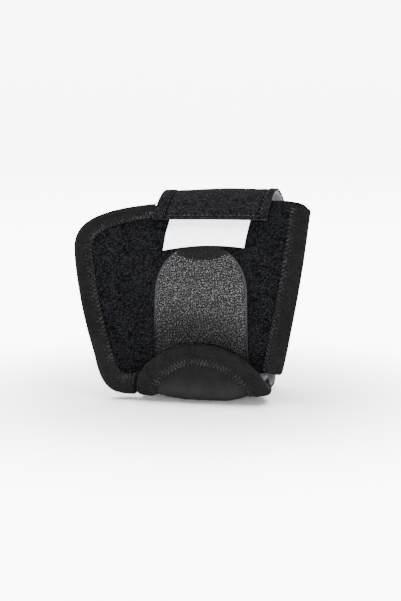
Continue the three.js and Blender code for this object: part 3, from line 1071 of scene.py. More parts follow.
@dataclass
class Binding:
    """Tape folded over an edge, pressed in at its seam and puffed between seam and fold."""

    name: str
    core: CoreLine
    edge: Array
    inner: float
    outer: float
    sag: Field
    step: float = 0.8 * MM
    around: int = 30
    puff: float = 0.28 * MM
    press: float = 0.8 * MM
    pucker: float = 0.1 * MM
    pitch: float = 3.4 * MM
    seam_inset: float = 1.7 * MM
    seam_width: float = 3.2 * MM
    corner: float = 1.8 * MM
    pinch_share: float = 0.42
    fold_share: float = 0.3
    rounding: float = 0.2 * MM
    knot_step: float = 0.3 * MM
    knot_lift: float = 0.12 * MM
    knot_share: float = 0.3
    length: float = field(init=False)

    def __post_init__(self) -> None:
        """Takes the edge at even steps."""
        self.edge, self.length = resampled(self.edge, self.step)
        self.way = np.gradient(self.edge, axis=0)
        self.way = self.way / np.linalg.norm(self.way, axis=1)[:, None]
        self.marks = np.linspace(0, self.length, len(self.edge))

    @property
    def radius(self) -> float:
        """Inside radius of the fold."""
        return (self.outer - self.inner) / 2 + SIZES.tape_gap

    @property
    def fold(self) -> float:
        """Inset of the middle of the fold."""
        return self.radius + SIZES.tape_thickness - SIZES.edge_inset

    @property
    def tape(self) -> float:
        """Width of the unfolded tape."""
        return 2 * (SIZES.tape_width - self.fold) + math.pi * self.radius

    def section(self, share: Array) -> tuple[Array, Array, Array, Array]:
        """The folded tape's inside at shares of its width.

        Args:
            share: Shares of the tape's width, from its outer edge round the fold.

        Returns:
            Inset and height off the middle, and the outward way in inset and height.
        """
        arm = SIZES.tape_width - self.fold
        at = share * self.tape
        angle = np.clip((at - arm) / self.radius, 0, math.pi)
        past = np.maximum(at - arm - math.pi * self.radius, 0)
        inset = self.fold - self.radius * np.sin(angle) + np.maximum(arm - at, 0) + past
        return inset, self.radius * np.cos(angle), -np.sin(angle), np.cos(angle)

    def swell(self, inset: Array, along: Array) -> Array:
        """How far the tape stands out of its plain section."""
        arm = SIZES.tape_width - self.fold
        share = np.clip((SIZES.tape_width - inset) / arm, 0, 1)
        pinch = 1 - smooth(share, 0.0, self.pinch_share)
        ripple = np.cos(2 * np.pi * along / self.pitch) * pinch * self.pucker
        return self.puff * np.sin(np.pi * share**0.7) - self.press * pinch + ripple

    def spot(self, along: Array, inset: Array) -> tuple[Array, Array]:
        """The place on the flat pattern at a length along the edge and an inset from it."""
        x, run = (np.interp(along, self.marks, self.edge[:, axis]) for axis in (0, 1))
        way_x, way_run = (np.interp(along, self.marks, self.way[:, axis]) for axis in (0, 1))
        return x - way_run * inset, run + way_x * inset

    def trimmed(self, along: Array, inset: Array) -> Array:
        """Lengths along the edge with the two ends rounded at the fold."""
        deep = np.clip(self.corner - inset - SIZES.edge_inset, 0, self.corner)
        cut = self.corner - np.sqrt(self.corner**2 - deep**2)
        reach = 2 * self.corner
        start = np.clip(1 - along / reach, 0, 1) * cut
        end = np.clip(1 - (self.length - along) / reach, 0, 1) * cut
        return along + start - end

    def mesh(self) -> bpy.types.Mesh:
        """Folds the tape over the edge and bends it round the core line.

        Returns:
            The bent mesh, mapped by the length along the edge and the unfolded tape's width.
        """
        mesh = shares_mesh(self.name, self.around, len(self.edge) - 1)
        shares = places_of(mesh)
        inset, height, way_inset, way_height = self.section(shares[:, 0])
        thick = shares[:, 2] * SIZES.tape_thickness
        along = self.trimmed(shares[:, 1] * self.length, inset)
        level = np.abs(way_height) > 0.99
        lift = self.swell(inset, along) * np.where(level, 1, self.fold_share)
        inset_out = inset + way_inset * (thick + lift)
        x, run = self.spot(along, inset_out)
        middle = (self.inner + self.outer) / 2
        height = middle + height + way_height * (thick + lift) + self.sag(x, run)
        set_pattern_map(mesh, np.column_stack([along, shares[:, 0] * self.tape]))
        set_places(mesh, self.core.bend(np.column_stack([x, run, height])))
        face_outwards(mesh)
        return mesh

    def on_top(self, along: Array, inset: Array) -> Array:
        """Flat places on the tape's outer face."""
        x, run = self.spot(along, inset)
        height = self.outer + SIZES.tape_gap + SIZES.tape_thickness + self.sag(x, run)
        return np.column_stack([x, run, height + self.swell(inset, along)])

    def seam(self, pitch: float) -> Stitches:
        """Stitches of a zigzag seam near the tape's outer edge."""
        count = int(self.length / pitch)
        along = (np.arange(count + 1) + 0.5) * self.length / (count + 1)
        middle = SIZES.tape_width - self.seam_inset
        sway = np.where(np.arange(count + 1) % 2, 0.5, -0.5) * self.seam_width
        return chained(self.on_top(along, middle + sway))

    def knots(self, pitch: float) -> Stitches:
        """Short paler stitches where the seam bites into the tape's inner edge."""
        along = np.arange(self.pitch, self.length - self.pitch, self.knot_step)
        inset = np.full(len(along), SIZES.tape_width - self.seam_inset + self.seam_width / 2)
        line = self.on_top(along, inset)
        line[:, 2] += self.knot_lift
        return row_of_stitches(line, pitch, self.knot_share)


@dataclass
class Sewing:
    """Rows of stitches, sewn flat and bent with the cloth."""

    core: CoreLine
    thread: float = 0.2 * MM
    sides: int = 6
    rings: int = 5

    def sew(
        self, name: str, stitches: Stitches, finish: bpy.types.Material, slot: str = "binding"
    ) -> bpy.types.Object:
        """Sews the stitches.

        Args:
            name: The name of the row.
            stitches: Flat places of each stitch's two ends.
            finish: The thread.
            slot: Not used.

        Returns:
            All the stitches as one bent piece.
        """
        shape = bmesh.new()
        for start, end in stitches:
            way = end - start
            turn = way.to_track_quat("Z", "Y").to_matrix().to_4x4()
            spread = Matrix.Diagonal((self.thread, self.thread, way.length / 2 + self.thread, 1))
            matrix = Matrix.Translation((start + end) / 2) @ turn @ spread
            bmesh.ops.create_uvsphere(
                shape, u_segments=self.sides, v_segments=self.rings, radius=1, matrix=matrix
            )
        for face in shape.faces:
            face.smooth = True
        mesh = mesh_of(name, shape)
        set_places(mesh, self.core.bend(places_of(mesh)))
        return finished(mesh, [finish])


def chained(places: Sequence[Array]) -> Stitches:
    """Stitches from each flat place to the next."""
    return [(Vector(start), Vector(end)) for start, end in zip(places, places[1:])]


def row_of_stitches(line: Array, pitch: float, share: float) -> Stitches:
    """Straight stitches along a line.

    Args:
        line: Flat places along the line.
        pitch: How far it is from stitch to stitch.
        share: The share of the pitch that a stitch is long.

    Returns:
        The stitches.
    """
    steps = np.linalg.norm(np.diff(line, axis=0), axis=1)
    lengths = np.concatenate([[0], np.cumsum(steps)])
    count = int(lengths[-1] / pitch)
    starts = (np.arange(count) + (1 - share) / 2) * lengths[-1] / count
    ends = starts + share * pitch
    first, last = (
        np.column_stack([np.interp(marks, lengths, line[:, axis]) for axis in range(3)])
        for marks in (starts, ends)
    )
    return [(Vector(start), Vector(end)) for start, end in zip(first, last)]


def loose_end(start: Array, turns: Sequence[tuple[float, float]]) -> Stitches:
    """A knot and the thread end that curls from it.

    Args:
        start: The knot's flat place.
        turns: Steps of the thread end across and along the loop, in millimetres from the knot.

    Returns:
        Stitches that follow the thread end.
    """
    places = [Vector(start)]
    for number, (x, run) in enumerate(turns):
        places.append(Vector(start) + Vector((x, run, 0.35 + 0.1 * number)) * MM)
    return chained(places)


@dataclass
class BoundPiece(SubAssembly):
    """A padded piece whose bindings are sewn down all along, with a thread end left loose."""

    stitch_pitch: float = 1.15 * MM
    knot_pitch: float = 2.3 * MM
    loose_thread: float = 0.26 * MM
    end_inset: float = 8 * MM
    ends: tuple[tuple[float, float], ...] = ()

    def sew_down(self, bindings: Sequence[Binding], names: Sequence[str], along: float) -> None:
        """Sews the bindings down.

        Args:
            bindings: The bindings, the first of which has the thread end.
            names: What the seams, the knots and the thread end are called.
            along: How far along the first binding the thread end is.
        """
        seams, knots, loose = names
        zigzags = [stitch for binding in bindings for stitch in binding.seam(self.stitch_pitch)]
        bites = [stitch for binding in bindings for stitch in binding.knots(self.knot_pitch)]
        sewing = Sewing(self.core)
        sewing.sew(seams, zigzags, self.finishes.thread)
        sewing.sew(knots, bites, self.finishes.pale_thread)
        start = bindings[0].on_top(np.array([along]), np.array([self.end_inset]))[0]
        thread = Sewing(self.core, self.loose_thread)
        thread.sew(loose, loose_end(start, self.ends), self.finishes.pale_thread)


@dataclass
class FrontPanel(BoundPiece):
    """The padded panel with its plush face, its two bindings and their seams."""

    sag_depth: float = 7.0 * MM
    sag_ease: float = 5.5 * MM
    sag_start: float = 3.8 * MM
    sag_length: float = 22 * MM
    grid: tuple[int, int] = (140, 120)
    rounding: float = 0.6 * MM
    dent: float = 0.15 * MM
    dent_size: float = 16 * MM
    pile: float = 0.25 * MM
    press: float = 0.5 * MM
    press_before: float = 0.8 * MM
    press_past: float = 2.2 * MM
    end_along: float = 2.4 * MM
    end_inset: float = 7.4 * MM
    ends: tuple[tuple[float, float], ...] = ((-0.9, 0.5), (-0.4, 1.2), (0.6, 1.1), (1.3, 0.3))
    outline: Array = field(init=False)

    def __post_init__(self) -> None:
        """Lays out the finished edge."""
        self.low = self.core.floor_front + SIZES.panel_start
        self.length = self.core.strap_top + SIZES.seam_overlap - self.low
        self.curves = outline(PANEL_TURNS, SIZES.panel_width, self.low, self.length)
        self.outline = np.vstack(self.curves)

    def sag(self, x: Array, run: Array) -> Array:
        """How far the lower left corner hangs out beside the pad."""
        beside = SIZES.pad_shift - SIZES.pad_width / 2 + self.sag_start
        outward = smooth(-x, -beside, self.sag_ease - beside)
        down = smooth(self.core.floor_front + self.sag_length - run, 0, self.sag_length)
        return self.sag_depth * outward * down

    def face(self, x: Array, run: Array) -> Array:
        """Height of the plush face: level, with soft dents and pressed in under the bindings."""
        pressed = self.pressed(x, run)
        dents = waver(x, run, self.dent_size, 3.0) - 1
        height = self.sag(x, run) + self.pile * (1 - pressed) - self.press * pressed
        return height + self.dent * dents

    def pressed(self, x: Array, run: Array) -> Array:
        """How much a place is pressed in by the bindings' seams."""
        off, _ = off_line(self.outline, x, run)
        return 1 - smooth(off, SIZES.tape_width - self.press_before, SIZES.tape_width + self.press_past)

    def lining_face(self, x: Array, run: Array) -> Array:
        """Height of the inner face."""
        return self.sag(x, run) - SIZES.panel_thickness + self.press * self.pressed(x, run)

    def body(self) -> None:
        """Cuts and pads the panel itself."""
        inside = moved_in(self.outline, SIZES.edge_inset + SIZES.gap, closed=True)
        low, high = inside[:, 1].min() + SIZES.gap, inside[:, 1].max() - SIZES.gap

        def spots(across: Array, along: Array) -> tuple[Array, Array]:
            """Places inside the finished edge."""
            run = low + (high - low) * eased(along)
            left, right = spans(inside, run)
            return left + (right - left) * across, run

        mesh = self.cut("panel_plush", self.grid, spots, (self.lining_face, self.face))
        finishes = [self.finishes.jersey, self.finishes.plush, self.finishes.plush]
        piece = finished(mesh, finishes, ["front_panel"])
        round_edges(piece, self.rounding)

    def bindings(self) -> list[Binding]:
        """The tape round the left edge and the tape up the right edge."""
        strap_left = Strap.middle(self.core, np.array([self.core.strap_top]))[0]
        stop = strap_left - SIZES.strap_width / 2 - 2 * SIZES.gap
        inside = moved_in(self.outline, SIZES.edge_inset, closed=True)
        left = inside[inside[:, 0] < stop]
        right = moved_in(self.curves[0], SIZES.edge_inset, closed=False)
        faces = (-SIZES.panel_thickness, 0.0)
        return [
            Binding("left_tape", self.core, left, *faces, self.sag),
            Binding("right_tape", self.core, right, *faces, self.sag),
        ]

    def build(self) -> None:
        """Makes the panel, its bindings and their seams."""
        self.body()
        bindings = self.bindings()
        for binding, node in zip(bindings, ["panel_binding_left", "panel_binding_right"]):
            piece = finished(binding.mesh(), [self.finishes.tape] * 3, [node])
            round_edges(piece, binding.rounding)
            flat = (binding.tape, binding.length)
        self.sew_down(bindings, ["panel_seams", "panel_knots", "panel_thread_ends"], self.end_along)


@dataclass
class Strap(SubAssembly):
    """The strap that goes from the panel's top over the crest and down the back."""

    left_hem: float = 6.0 * MM
    right_hem: float = 3.8 * MM
    end_hem: float = 1.9 * MM
    hem_lift: float = 0.35 * MM
    groove: float = 0.5 * MM
    crease_off: float = 0.5 * MM
    crease_width: float = 0.85 * MM
    hem_ease: float = 0.9 * MM
    dent: float = 0.21 * MM
    dent_sizes: tuple[float, float] = (17 * MM, 7 * MM)
    stitch_lift: float = 0.1 * MM
    stitch_pitch: float = 2.4 * MM
    side_share: float = 0.66
    end_share: float = 0.5
    zigzag_pitch: float = 1.3 * MM
    zigzag_width: float = 1.7 * MM
    lining_margin: float = 0.5 * MM
    lining_start: float = 1.4 * MM
    lining_clearance: float = 0.04 * MM
    rounding: float = 0.22 * MM
    lining_rounding: float = 0.25 * MM
    face_grid: tuple[int, int] = (84, 230)
    lining_grid: tuple[int, int] = (30, 180)

    SWAY = ((0, 0.082), (0.15, 0.115), (0.24, 0.145), (0.45, 0.1), (0.72, 0.065), (1, 0.05))

    @classmethod
    def middle(cls, core: CoreLine, run: Array) -> Array:
        """Middle of the strap at a run, swaying from side to side."""
        share = (run - core.strap_top) / (core.strap_bottom - core.strap_top)
        rows = np.array(cls.SWAY)
        which = np.clip(np.searchsorted(rows[:, 0], share), 1, len(rows) - 1)
        start, end = rows[which - 1], rows[which]
        ease = np.clip((share - start[:, 0]) / (end[:, 0] - start[:, 0]), 0, 1)
        ease = ease * ease * (3 - 2 * ease)
        return SIZES.strap_width * (start[:, 1] + (end[:, 1] - start[:, 1]) * ease)

    def lift(self, run: Array) -> Array:
        """How far the sewn end rides up over the label."""
        over = self.core.strap_top + SIZES.label_tuck + SIZES.gap
        ease = SIZES.label_tuck * 3
        return (SIZES.label_thickness + SIZES.gap) * smooth(over + ease - run, 0, ease)

    def spots(self, width: float, start: float = 0.0) -> Spots:
        """Places on the strap's flat pattern, from a start past its sewn end."""

        def places(across: Array, along: Array) -> tuple[Array, Array]:
            """Places across and along the strap."""
            first = self.core.strap_top + start
            run = first + (self.core.strap_bottom - first) * along
            return self.middle(self.core, run) + (across - 0.5) * width, run

        return places

    def outer(self, x: Array, run: Array) -> Array:
        """Height of the outer face, with hems, seam grooves and soft dents."""
        off = x - self.middle(self.core, run)
        sides = np.minimum(off - self.left_hem, -off - self.right_hem) + SIZES.strap_width / 2
        past = np.minimum(sides, run - self.core.strap_top - self.end_hem)
        hem = 1 - smooth(past, 0, self.hem_ease)
        large, small = self.dent_sizes
        dents = waver(x, run, large, 7.0) + 0.5 * waver(x, run, small, 11.0)
        height = SIZES.strap_outer + self.lift(run) + self.dent * (dents + 0.4)
        return height + self.hem_lift * hem - self.groove * self.crease(x, run)

    def crease(self, x: Array, run: Array) -> Array:
        """How much a place lies in the crease beside the left or the right hem, which also gets painted
        shade.
        """
        off = x - self.middle(self.core, run)
        past = np.minimum(off - self.left_hem, -off - self.right_hem) + SIZES.strap_width / 2
        return np.exp(-(((past - self.crease_off) / self.crease_width) ** 2))

    def inner(self, x: Array, run: Array) -> Array:
        """Height of the inner face."""
        return SIZES.strap_inner + self.lift(run)

    def on_top(self, x: Array, run: Array) -> Array:
        """Flat places just on the outer face."""
        return np.column_stack([x, run, self.outer(x, run) + self.stitch_lift])

    def straight_hems(self) -> Stitches:
        """Stitches of the left hem and of the hem at the sewn end.

        Returns:
            The stitches of both.
        """
        first = self.core.strap_top + self.end_hem
        runs = np.linspace(first, self.core.strap_bottom - self.end_hem, 400)
        half = SIZES.strap_width / 2
        left = self.on_top(self.middle(self.core, runs) - half + self.left_hem, runs)
        x = np.linspace(self.left_hem - half, half - self.right_hem, 120)
        x += self.middle(self.core, np.array([first]))[0]
        end = self.on_top(x, np.full(len(x), first))
        return [
            *row_of_stitches(left, self.stitch_pitch, self.side_share),
            *row_of_stitches(end, self.stitch_pitch, self.end_share),
        ]

    def zigzag_hem(self) -> Stitches:
        """Stitches of the right hem, which is oversewn."""
        first = self.core.strap_top + self.end_hem
        runs = np.arange(first, self.core.strap_bottom - self.end_hem, self.zigzag_pitch)
        sway = np.where(np.arange(len(runs)) % 2, 0.5, -0.5) * self.zigzag_width
        x = self.middle(self.core, runs) + SIZES.strap_width / 2 - self.right_hem + sway
        return chained(self.on_top(x, runs))

    def build(self) -> None:
        """Makes the strap, its lining and its hem seams."""
        spots, faces = self.spots(SIZES.strap_width), (self.inner, self.outer)
        mesh = self.cut("strap_face", self.face_grid, spots, faces, crease=self.crease)
        finishes = [self.finishes.lining, self.finishes.loop_cloth, self.finishes.cut_edge]
        face = finished(mesh, finishes, ["wrap_strap"])
        round_edges(face, self.rounding)
        sewing, look = Sewing(self.core), (self.finishes.thread, "strap_cloth")
        straight_piece = sewing.sew("strap_hem_seams", self.straight_hems(), *look)
        zigzag_piece = sewing.sew("strap_zigzag_seam", self.zigzag_hem(), *look)
        width = SIZES.strap_width - 2 * self.lining_margin
        faces = (
            lambda x, run: SIZES.gap + self.lift(run),
            lambda x, run: SIZES.strap_inner + self.lift(run) - self.lining_clearance,
        )
        spots = self.spots(width, self.lining_start)
        mesh = self.cut("strap_lining_cloth", self.lining_grid, spots, faces)
        lining = finished(mesh, [self.finishes.lining] * 3, ["strap_lining"])
        round_edges(lining, self.lining_rounding)


@dataclass
class Label(SubAssembly):
    """The plain satin label, held under the strap's end and bowed up by the tab."""

    width: float = 43.8 * MM
    length: float = 15.7 * MM
    thickness: float = 0.62 * MM
    grid: tuple[int, int] = (72, 36)
    rounding: float = 0.16 * MM
    dent: float = 0.12 * MM
    dent_size: float = 9 * MM
    bow: float = 2.0 * MM
    tilt: float = 0.05
    lean: float = 2.1 * MM
    ease: float = 10 * MM
    curl: float = 0.35 * MM
    curl_from: float = 0.55
    fold: float = 0.12 * MM
    fold_edge: tuple[float, float] = (0.9, 0.93)

    SHIFT = 3.6 * MM

    def build(self) -> None:
        """Makes the label."""
        top = self.core.strap_top + SIZES.label_tuck
        lift = SIZES.tab_thickness + SIZES.gap

        def spots(across: Array, along: Array) -> tuple[Array, Array]:
            """Places on the label's pattern."""
            side = (across - 0.5) * self.width
            bow = self.bow * (1 - (2 * across - 1) ** 2) * (1 - along)
            run = top - (self.length + SIZES.label_tuck) * (1 - along)
            x = side + self.SHIFT + self.lean * (along - 0.4)
            return x, run + bow + side * self.tilt * (1 - along)

        def inner(x: Array, run: Array) -> Array:
            """Height of the label's back, clear of the tab and curled at its lower corners."""
            rise = smooth(top - SIZES.label_tuck - run, 0, self.ease)
            corner = np.abs(x - self.SHIFT) / (self.width / 2)
            curl = self.curl * smooth(corner, self.curl_from, 1) * rise
            return SIZES.gap + lift * rise + curl

        def outer(x: Array, run: Array) -> Array:
            """Height of the label's face, with its folded ends a little thicker."""
            ends = smooth(np.abs(x - self.SHIFT) / (self.width / 2), *self.fold_edge)
            dents = waver(x, run, self.dent_size, 5.0) * self.dent
            return inner(x, run) + self.thickness + self.fold * ends + dents

        mesh = self.cut("label_cloth", self.grid, spots, (inner, outer))
        piece = finished(mesh, [self.finishes.satin] * 3, ["label"])
        round_edges(piece, self.rounding)


@dataclass
class HookTab(SubAssembly):
    """The hook tab that is sewn behind the pad and lies up the panel's plush face."""

    width: float = 49 * MM
    flare: float = 2.4 * MM
    nose: float = 28 * MM
    roundness: float = 2.3
    shift: float = 1.6 * MM
    rise: float = 20 * MM
    ground: float = 0.85 * MM
    margin: float = 1.3 * MM
    rounding: float = 0.18 * MM
    tip_gap: float = 0.08 * MM
    selvage: float = 1.5 * MM
    selvage_edge: float = 1.1 * MM
    pitch: float = 0.86 * MM
    row_pitch: float = 0.94
    scatter: float = 0.3
    first_row: float = 6 * MM
    last_row: float = 0.6 * MM
    hook: float = 0.46 * MM
    foot: float = 0.16 * MM
    head: float = 0.26 * MM
    grip_width: float = 14.5 * MM
    grip_length: float = 9.2 * MM
    grip_roundness: float = 2.6
    grip_edge: tuple[float, float] = (0.6, 1.35)
    grip_chance: tuple[float, float] = (0.3, 0.7)
    hook_sizes: tuple[float, float] = (0.7, 1.15)
    hook_leans: tuple[float, float] = (0.1, 0.26)
    seed: int = 11
    grid: tuple[int, int] = (64, 96)

    @property
    def base(self) -> float:
        """Run at the sewn base."""
        return self.core.floor_front + SIZES.tab_start

    @property
    def tip(self) -> float:
        """Run at the rounded tip, under the label."""
        return self.core.strap_top - SIZES.label_length + SIZES.tab_tuck

    def half_width(self, run: Array) -> tuple[Array, Array]:
        """The tab's middle and half its width at a run."""
        along = np.clip((run - self.base) / (self.tip - self.base), 0, 1)
        flare = self.flare * (1 - along)
        nose = np.clip((run - (self.tip - self.nose)) / self.nose, 0, 1)
        width = (self.width + flare) * np.sqrt(np.maximum(1 - nose**self.roundness, 0))
        return self.shift + flare / 2, width / 2

    def spots(self, across: Array, along: Array) -> tuple[Array, Array]:
        """Places on the tab's pattern."""
        run = self.base + (self.tip - self.base - self.tip_gap) * eased(along)
        middle, half = self.half_width(run)
        return middle + (2 * across - 1) * half, run

    def inner(self, x: Array, run: Array) -> Array:
        """Height of the tab's back, which steps down from the pad to the panel."""
        tape_inner = SIZES.strap_outer + SIZES.gap
        step = tape_inner - SIZES.tab_thickness - 3 * SIZES.gap
        return SIZES.gap + step * smooth(self.base + self.rise - run, 0, self.rise)

    def outer(self, x: Array, run: Array) -> Array:
        """Height of the ground between the hooks."""
        return self.inner(x, run) + self.ground

    def in_grip(self, x: Array, run: Array) -> Array:
        """How much a place belongs to the smooth thumb grip at the tip."""
        across = (np.abs(x - self.shift) / self.grip_width) ** self.grip_roundness
        along = (np.abs(run - self.tip) / self.grip_length) ** self.grip_roundness
        return 1 - smooth(across + along, *self.grip_edge)

    def in_selvage(self, x: Array, run: Array) -> Array:
        """How much a place belongs to the bare selvages of the tape."""
        middle, half = self.half_width(run)
        return smooth(np.abs(x - middle), half - self.selvage, half - self.selvage_edge)

    def hooks(self) -> bpy.types.Mesh:
        """Small hooks, standing in staggered rows on the ground.

        Returns:
            All the hooks as one bent mesh.
        """
        random = np.random.default_rng(self.seed)
        tape = bmesh.new()
        row_mesh = bpy.data.meshes.new("hook_row")
        pitch = self.pitch * self.row_pitch
        rows = np.arange(self.base + self.first_row, self.tip - self.last_row, pitch)
        for number, run in enumerate(rows):
            middle, half = (float(size) for size in self.half_width(np.array(run)))
            start = middle - half + self.margin + (number % 2) * self.pitch / 2
            x = np.arange(start, middle + half - self.margin, self.pitch)
            x = x + random.uniform(-self.scatter, self.scatter, len(x)) * self.pitch
            runs = run + random.uniform(-self.scatter, self.scatter, len(x)) * self.pitch
            heights = self.outer(x, runs)
            bare = self.in_grip(x, runs) > random.uniform(*self.grip_chance, len(x))
            row = bmesh.new()
            for spot in np.column_stack([x, runs, heights])[~bare]:
                self.add_hook(row, spot, random)
            row.to_mesh(row_mesh)
            row.free()
            tape.from_mesh(row_mesh)
        mesh = mesh_of("tab_hooks", tape)
        bpy.data.meshes.remove(row_mesh)
        set_places(mesh, self.core.bend(places_of(mesh)))
        return mesh

    def add_hook(self, row: bmesh.types.BMesh, spot: Array, random: np.random.Generator) -> None:
        """Adds one leaning hook, wider at its head.

        Args:
            row: The row that it is added to.
            spot: Its foot's place on the flat pattern.
            random: Where its size and lean come from.
        """
        size = random.uniform(*self.hook_sizes)
        lean = random.choice([-1, 1]) * random.uniform(*self.hook_leans) * MM
        height = spot[2] + self.hook * size / 2
        made = bmesh.ops.create_cone(
            row,
            cap_ends=True,
            segments=5,
            radius1=self.foot,
            radius2=self.head * size,
            depth=self.hook * size,
            matrix=Matrix.Translation((spot[0], spot[1], height)),
        )
        head = [vert for vert in made["verts"] if vert.co.z > height]
        bmesh.ops.translate(row, verts=head, vec=(lean, lean * random.uniform(-1, 1), 0))

    def build(self) -> None:
        """Makes the tab and its hooks."""
        faces, masks = (self.inner, self.outer), {"grip": self.in_grip, "selvage": self.in_selvage}
        mesh = self.cut("tab_ground", self.grid, self.spots, faces, **masks)
        finishes = [self.finishes.hook_edge, self.finishes.hook_ground, self.finishes.hook_edge]
        ground = finished(mesh, finishes, ["hook_tab"])
        round_edges(ground, self.rounding)
        hooks = finished(self.hooks(), [self.finishes.hooks])
        self.width + self.flare


@dataclass
class EndPad(BoundPiece):
    """The rounded foam pad that the loop stands on, with its binding and seam."""

    grid: tuple[int, int] = (60, 60)
    rounding: float = 0.4 * MM
    clearance: float = 0.02 * MM
    heel: float = 0.6 * MM
    heel_held: float = 1 * MM
    quick_ease: float = 9 * MM
    simulation_scale: float = 20.0
    pressure: float = 4.0
    frames: int = 20
    fullness: float = 1.35
    gather: float = 0.12 * MM
    gather_pitch: float = 4.4 * MM
    gather_start: tuple[float, float] = (7 * MM, 10 * MM)
    gather_end: tuple[float, float] = (11 * MM, 17 * MM)
    dent: float = 0.14 * MM
    dent_size: float = 12 * MM
    end_run: float = 2.5 * MM
    end_inset: float = 8.8 * MM
    ends: tuple[tuple[float, float], ...] = ((-0.5, -1.1), (-1.4, -1.6), (-1.2, -2.8), (-2.2, -3.2))
    edge: Array = field(init=False)

    def __post_init__(self) -> None:
        """Lays out the finished edge, from the rear right corner round the tip to the rear left."""
        self.low = self.core.floor_front - SIZES.pad_start
        half = outline(PAD_TURNS, SIZES.pad_width / 2, self.low, SIZES.pad_length)
        right = np.vstack([*half, [[0, self.low + SIZES.pad_length]]])
        left = right[:-1][::-1] * np.array([-1, 1])
        self.edge = np.vstack([right, left]) + np.array([SIZES.pad_shift, 0])

    def crown(self, mesh: bpy.types.Mesh, flat: Array) -> Array:
        """How full the pad is at each vertex, from 0 to 1, by blowing it up as cloth.

        Args:
            mesh: The pad's flat mesh.
            flat: Its vertices' places, with the height of the unfilled faces.

        Returns:
            The share of the full crown at each vertex.
        """
        sewn_in = SIZES.edge_inset + SIZES.tape_width
        off, _ = off_line(self.edge, flat[:, 0], flat[:, 1])
        rear = flat[:, 1] - self.low
        blown = put("pad_in_the_making", mesh.copy())
        set_places(blown.data, flat * self.simulation_scale)
        held = (off < sewn_in) | (rear < self.heel_held)
        group = blown.vertex_groups.new(name="sewn")
        group.add([int(index) for index in np.flatnonzero(held)], 1.0, "REPLACE")
        cloth = blown.modifiers.new("filling", "CLOTH").settings
        cloth.use_pressure = True
        cloth.uniform_pressure_force = self.pressure
        cloth.vertex_group_mass = "sewn"
        cloth.tension_stiffness = 12
        cloth.compression_stiffness = 12
        cloth.shear_stiffness = 4
        cloth.bending_stiffness = 0.4
        cloth.mass = 0.3
        cloth.effector_weights.gravity = 0
        for number in range(1, self.frames + 1):
            bpy.context.scene.frame_set(number)
        depsgraph = bpy.context.evaluated_depsgraph_get()
        settled = places_of(blown.evaluated_get(depsgraph).data) / self.simulation_scale
        bpy.context.scene.frame_set(1)
        moved = np.abs(settled[:, 2] - flat[:, 2])
        bpy.data.objects.remove(blown)
        LOG.info("pad swelled by up to %.2f mm before its cap", moved.max() / MM)
        return np.clip(self.fullness * moved / max(moved.max(), 1e-6), 0, 1)

    def body(self) -> None:
        """Cuts the pad, fills it and bends it."""
        inside = moved_in(self.edge, SIZES.edge_inset + SIZES.gap, closed=False)
        low, high = inside[0, 1] + SIZES.tape_gap, inside[:, 1].max() - SIZES.tape_gap
        mesh = shares_mesh("pad_jersey", *self.grid)
        shares = places_of(mesh)
        run = low + (high - low) * np.sin(shares[:, 1] * math.pi / 2)
        left, right = spans(inside, run)
        x = left + (right - left) * shares[:, 0]
        top = shares[:, 2] > 0.5
        flat = np.column_stack([x, run, np.where(top, SIZES.pad_outer, SIZES.pad_inner)])
        full = self.crown(mesh, flat)
        off, along = off_line(self.edge, x, run)
        near = smooth(off, *self.gather_start) * (1 - smooth(off, *self.gather_end))
        gathers = np.cos(2 * np.pi * along / self.gather_pitch) * self.gather * near
        dents = self.dent * waver(x, run, self.dent_size, 9.0)
        rise = SIZES.pad_crown * full + (gathers + dents) * (1 - full)
        flat[:, 2] += np.where(top, rise, -self.heel * full)
        set_pattern_map(mesh, flat[:, :2])
        bent = self.core.bend(flat)
        bent[:, 2] = np.maximum(bent[:, 2], self.clearance)
        set_places(mesh, bent)
        face_outwards(mesh)
        piece = finished(mesh, [self.finishes.jersey] * 3, ["end_pad"])
        round_edges(piece, self.rounding)

    def build(self) -> None:
        """Makes the pad, its binding and their seam."""
        self.body()
        line = moved_in(self.edge, SIZES.edge_inset, closed=False)
        faces = (SIZES.pad_inner, SIZES.pad_outer)
        binding = Binding("pad_tape", self.core, line, *faces, lambda x, run: 0 * x)
        piece = finished(binding.mesh(), [self.finishes.tape] * 3, ["pad_binding"])
        round_edges(piece, binding.rounding)
        flat = (binding.tape, binding.length)
        along = binding.marks[binding.edge[:, 1] > self.core.floor_front + self.end_run][0]
        self.sew_down([binding], ["pad_seam", "pad_knots", "pad_thread_ends"], along)


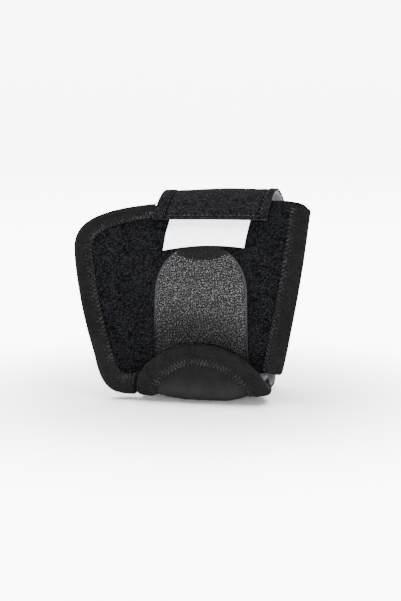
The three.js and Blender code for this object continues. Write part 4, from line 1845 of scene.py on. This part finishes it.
@dataclass
class Studio:
    """A pale seamless floor, soft light and the camera at the photo's angle."""

    finishes: Finishes
    azimuth: float = 12.0
    elevation: float = 8.0
    lens: float = 80.0
    sensor: float = 36.0
    distance: float = 735 * MM
    aim: tuple[float, float, float] = (2.38 * MM, 2.57 * MM, 51.47 * MM)
    floor_radius: float = 3.0
    floor_sides: int = 96
    cove_steps: int = 9
    cove_step: float = 0.25
    room: float = 0.45
    nearest: float = 10 * MM

    def floor(self) -> None:
        """Lays the floor and turns it up into a backdrop, far off on every side."""
        shape = bmesh.new()
        radius = self.floor_radius
        bmesh.ops.create_circle(shape, cap_ends=True, segments=self.floor_sides, radius=radius)
        rim = list(shape.edges)
        for angle in np.linspace(0, math.radians(90), self.cove_steps):
            raised = bmesh.ops.extrude_edge_only(shape, edges=rim)
            rim, verts = (extruded(raised, kind) for kind in (bmesh.types.BMEdge, bmesh.types.BMVert))
            grow = 1 + self.cove_step * math.cos(angle) / radius
            bmesh.ops.scale(shape, verts=verts, vec=(grow, grow, 1))
            bmesh.ops.translate(shape, verts=verts, vec=(0, 0, self.cove_step * math.sin(angle)))
            radius *= grow
        for face in shape.faces:
            face.smooth = len(face.verts) == 4
        mesh = mesh_of("floor", shape)
        mesh.materials.append(self.finishes.floor)
        floor = put("floor", mesh)

    @staticmethod
    def lamp(
        name: str, place: Sequence[float], size: float, power: float, aim: Sequence[float] = (0, 0, 0.05)
    ) -> None:
        """Hangs a soft square lamp.

        Args:
            name: Its name.
            place: Where it hangs.
            size: Length of its side.
            power: Its power in watts.
            aim: What it faces, which is the strap if nothing is given.
        """
        data = bpy.data.lights.new(name, "AREA")
        data.size = size
        data.energy = power
        lamp = put(name, data)
        lamp.location = place
        way = Vector(aim) - Vector(place)
        lamp.rotation_euler = way.to_track_quat("-Z", "Y").to_euler()

    def light(self) -> None:
        """Soft light from above and in front, and a bright room."""
        self.lamp("overhead", (0.0, 0.4, 1.5), size=2.4, power=160.0, aim=(0, 0.4, 0))
        self.lamp("front_left", (-0.6, -1.2, 0.3), size=0.8, power=5.0)
        self.lamp("front_right", (0.7, -1.1, 0.3), size=0.7, power=2.5)
        world = bpy.data.worlds.new("room")
        world.use_nodes = True
        background = world.node_tree.nodes["Background"]
        background.inputs["Color"].default_value = (1, 1, 1, 1)
        background.inputs["Strength"].default_value = self.room
        bpy.context.scene.world = world

    def camera(self) -> None:
        """Sets up the camera."""
        azimuth, elevation = math.radians(self.azimuth), math.radians(self.elevation)
        back = Vector((
            math.sin(azimuth) * math.cos(elevation),
            -math.cos(azimuth) * math.cos(elevation),
            math.sin(elevation),
        ))
        data = bpy.data.cameras.new("camera")
        data.lens = self.lens
        data.sensor_width = self.sensor
        data.clip_start = self.nearest
        camera = put("camera", data)
        camera.location = Vector(self.aim) + back * self.distance
        camera.rotation_euler = (-back).to_track_quat("-Z", "Y").to_euler()
        bpy.context.scene.camera = camera

    def build(self) -> None:
        """Makes the camera, the floor and the lights."""
        self.camera()
        self.floor()
        self.light()


def main() -> None:
    """Builds the strap piece by piece, and the studio round it."""
    logging.basicConfig(level=logging.INFO, format="%(relativeCreated)6.0f ms %(message)s")
    finishes = Finishes()
    Studio(finishes).build()
    core = CoreLine(SIZES, STATIONS)
    for sub_assembly in (FrontPanel, Strap, Label, HookTab, EndPad):
        LOG.info("building %s", sub_assembly.__name__)
        sub_assembly(core, finishes).build()


if __name__ == "__main__":
    main()
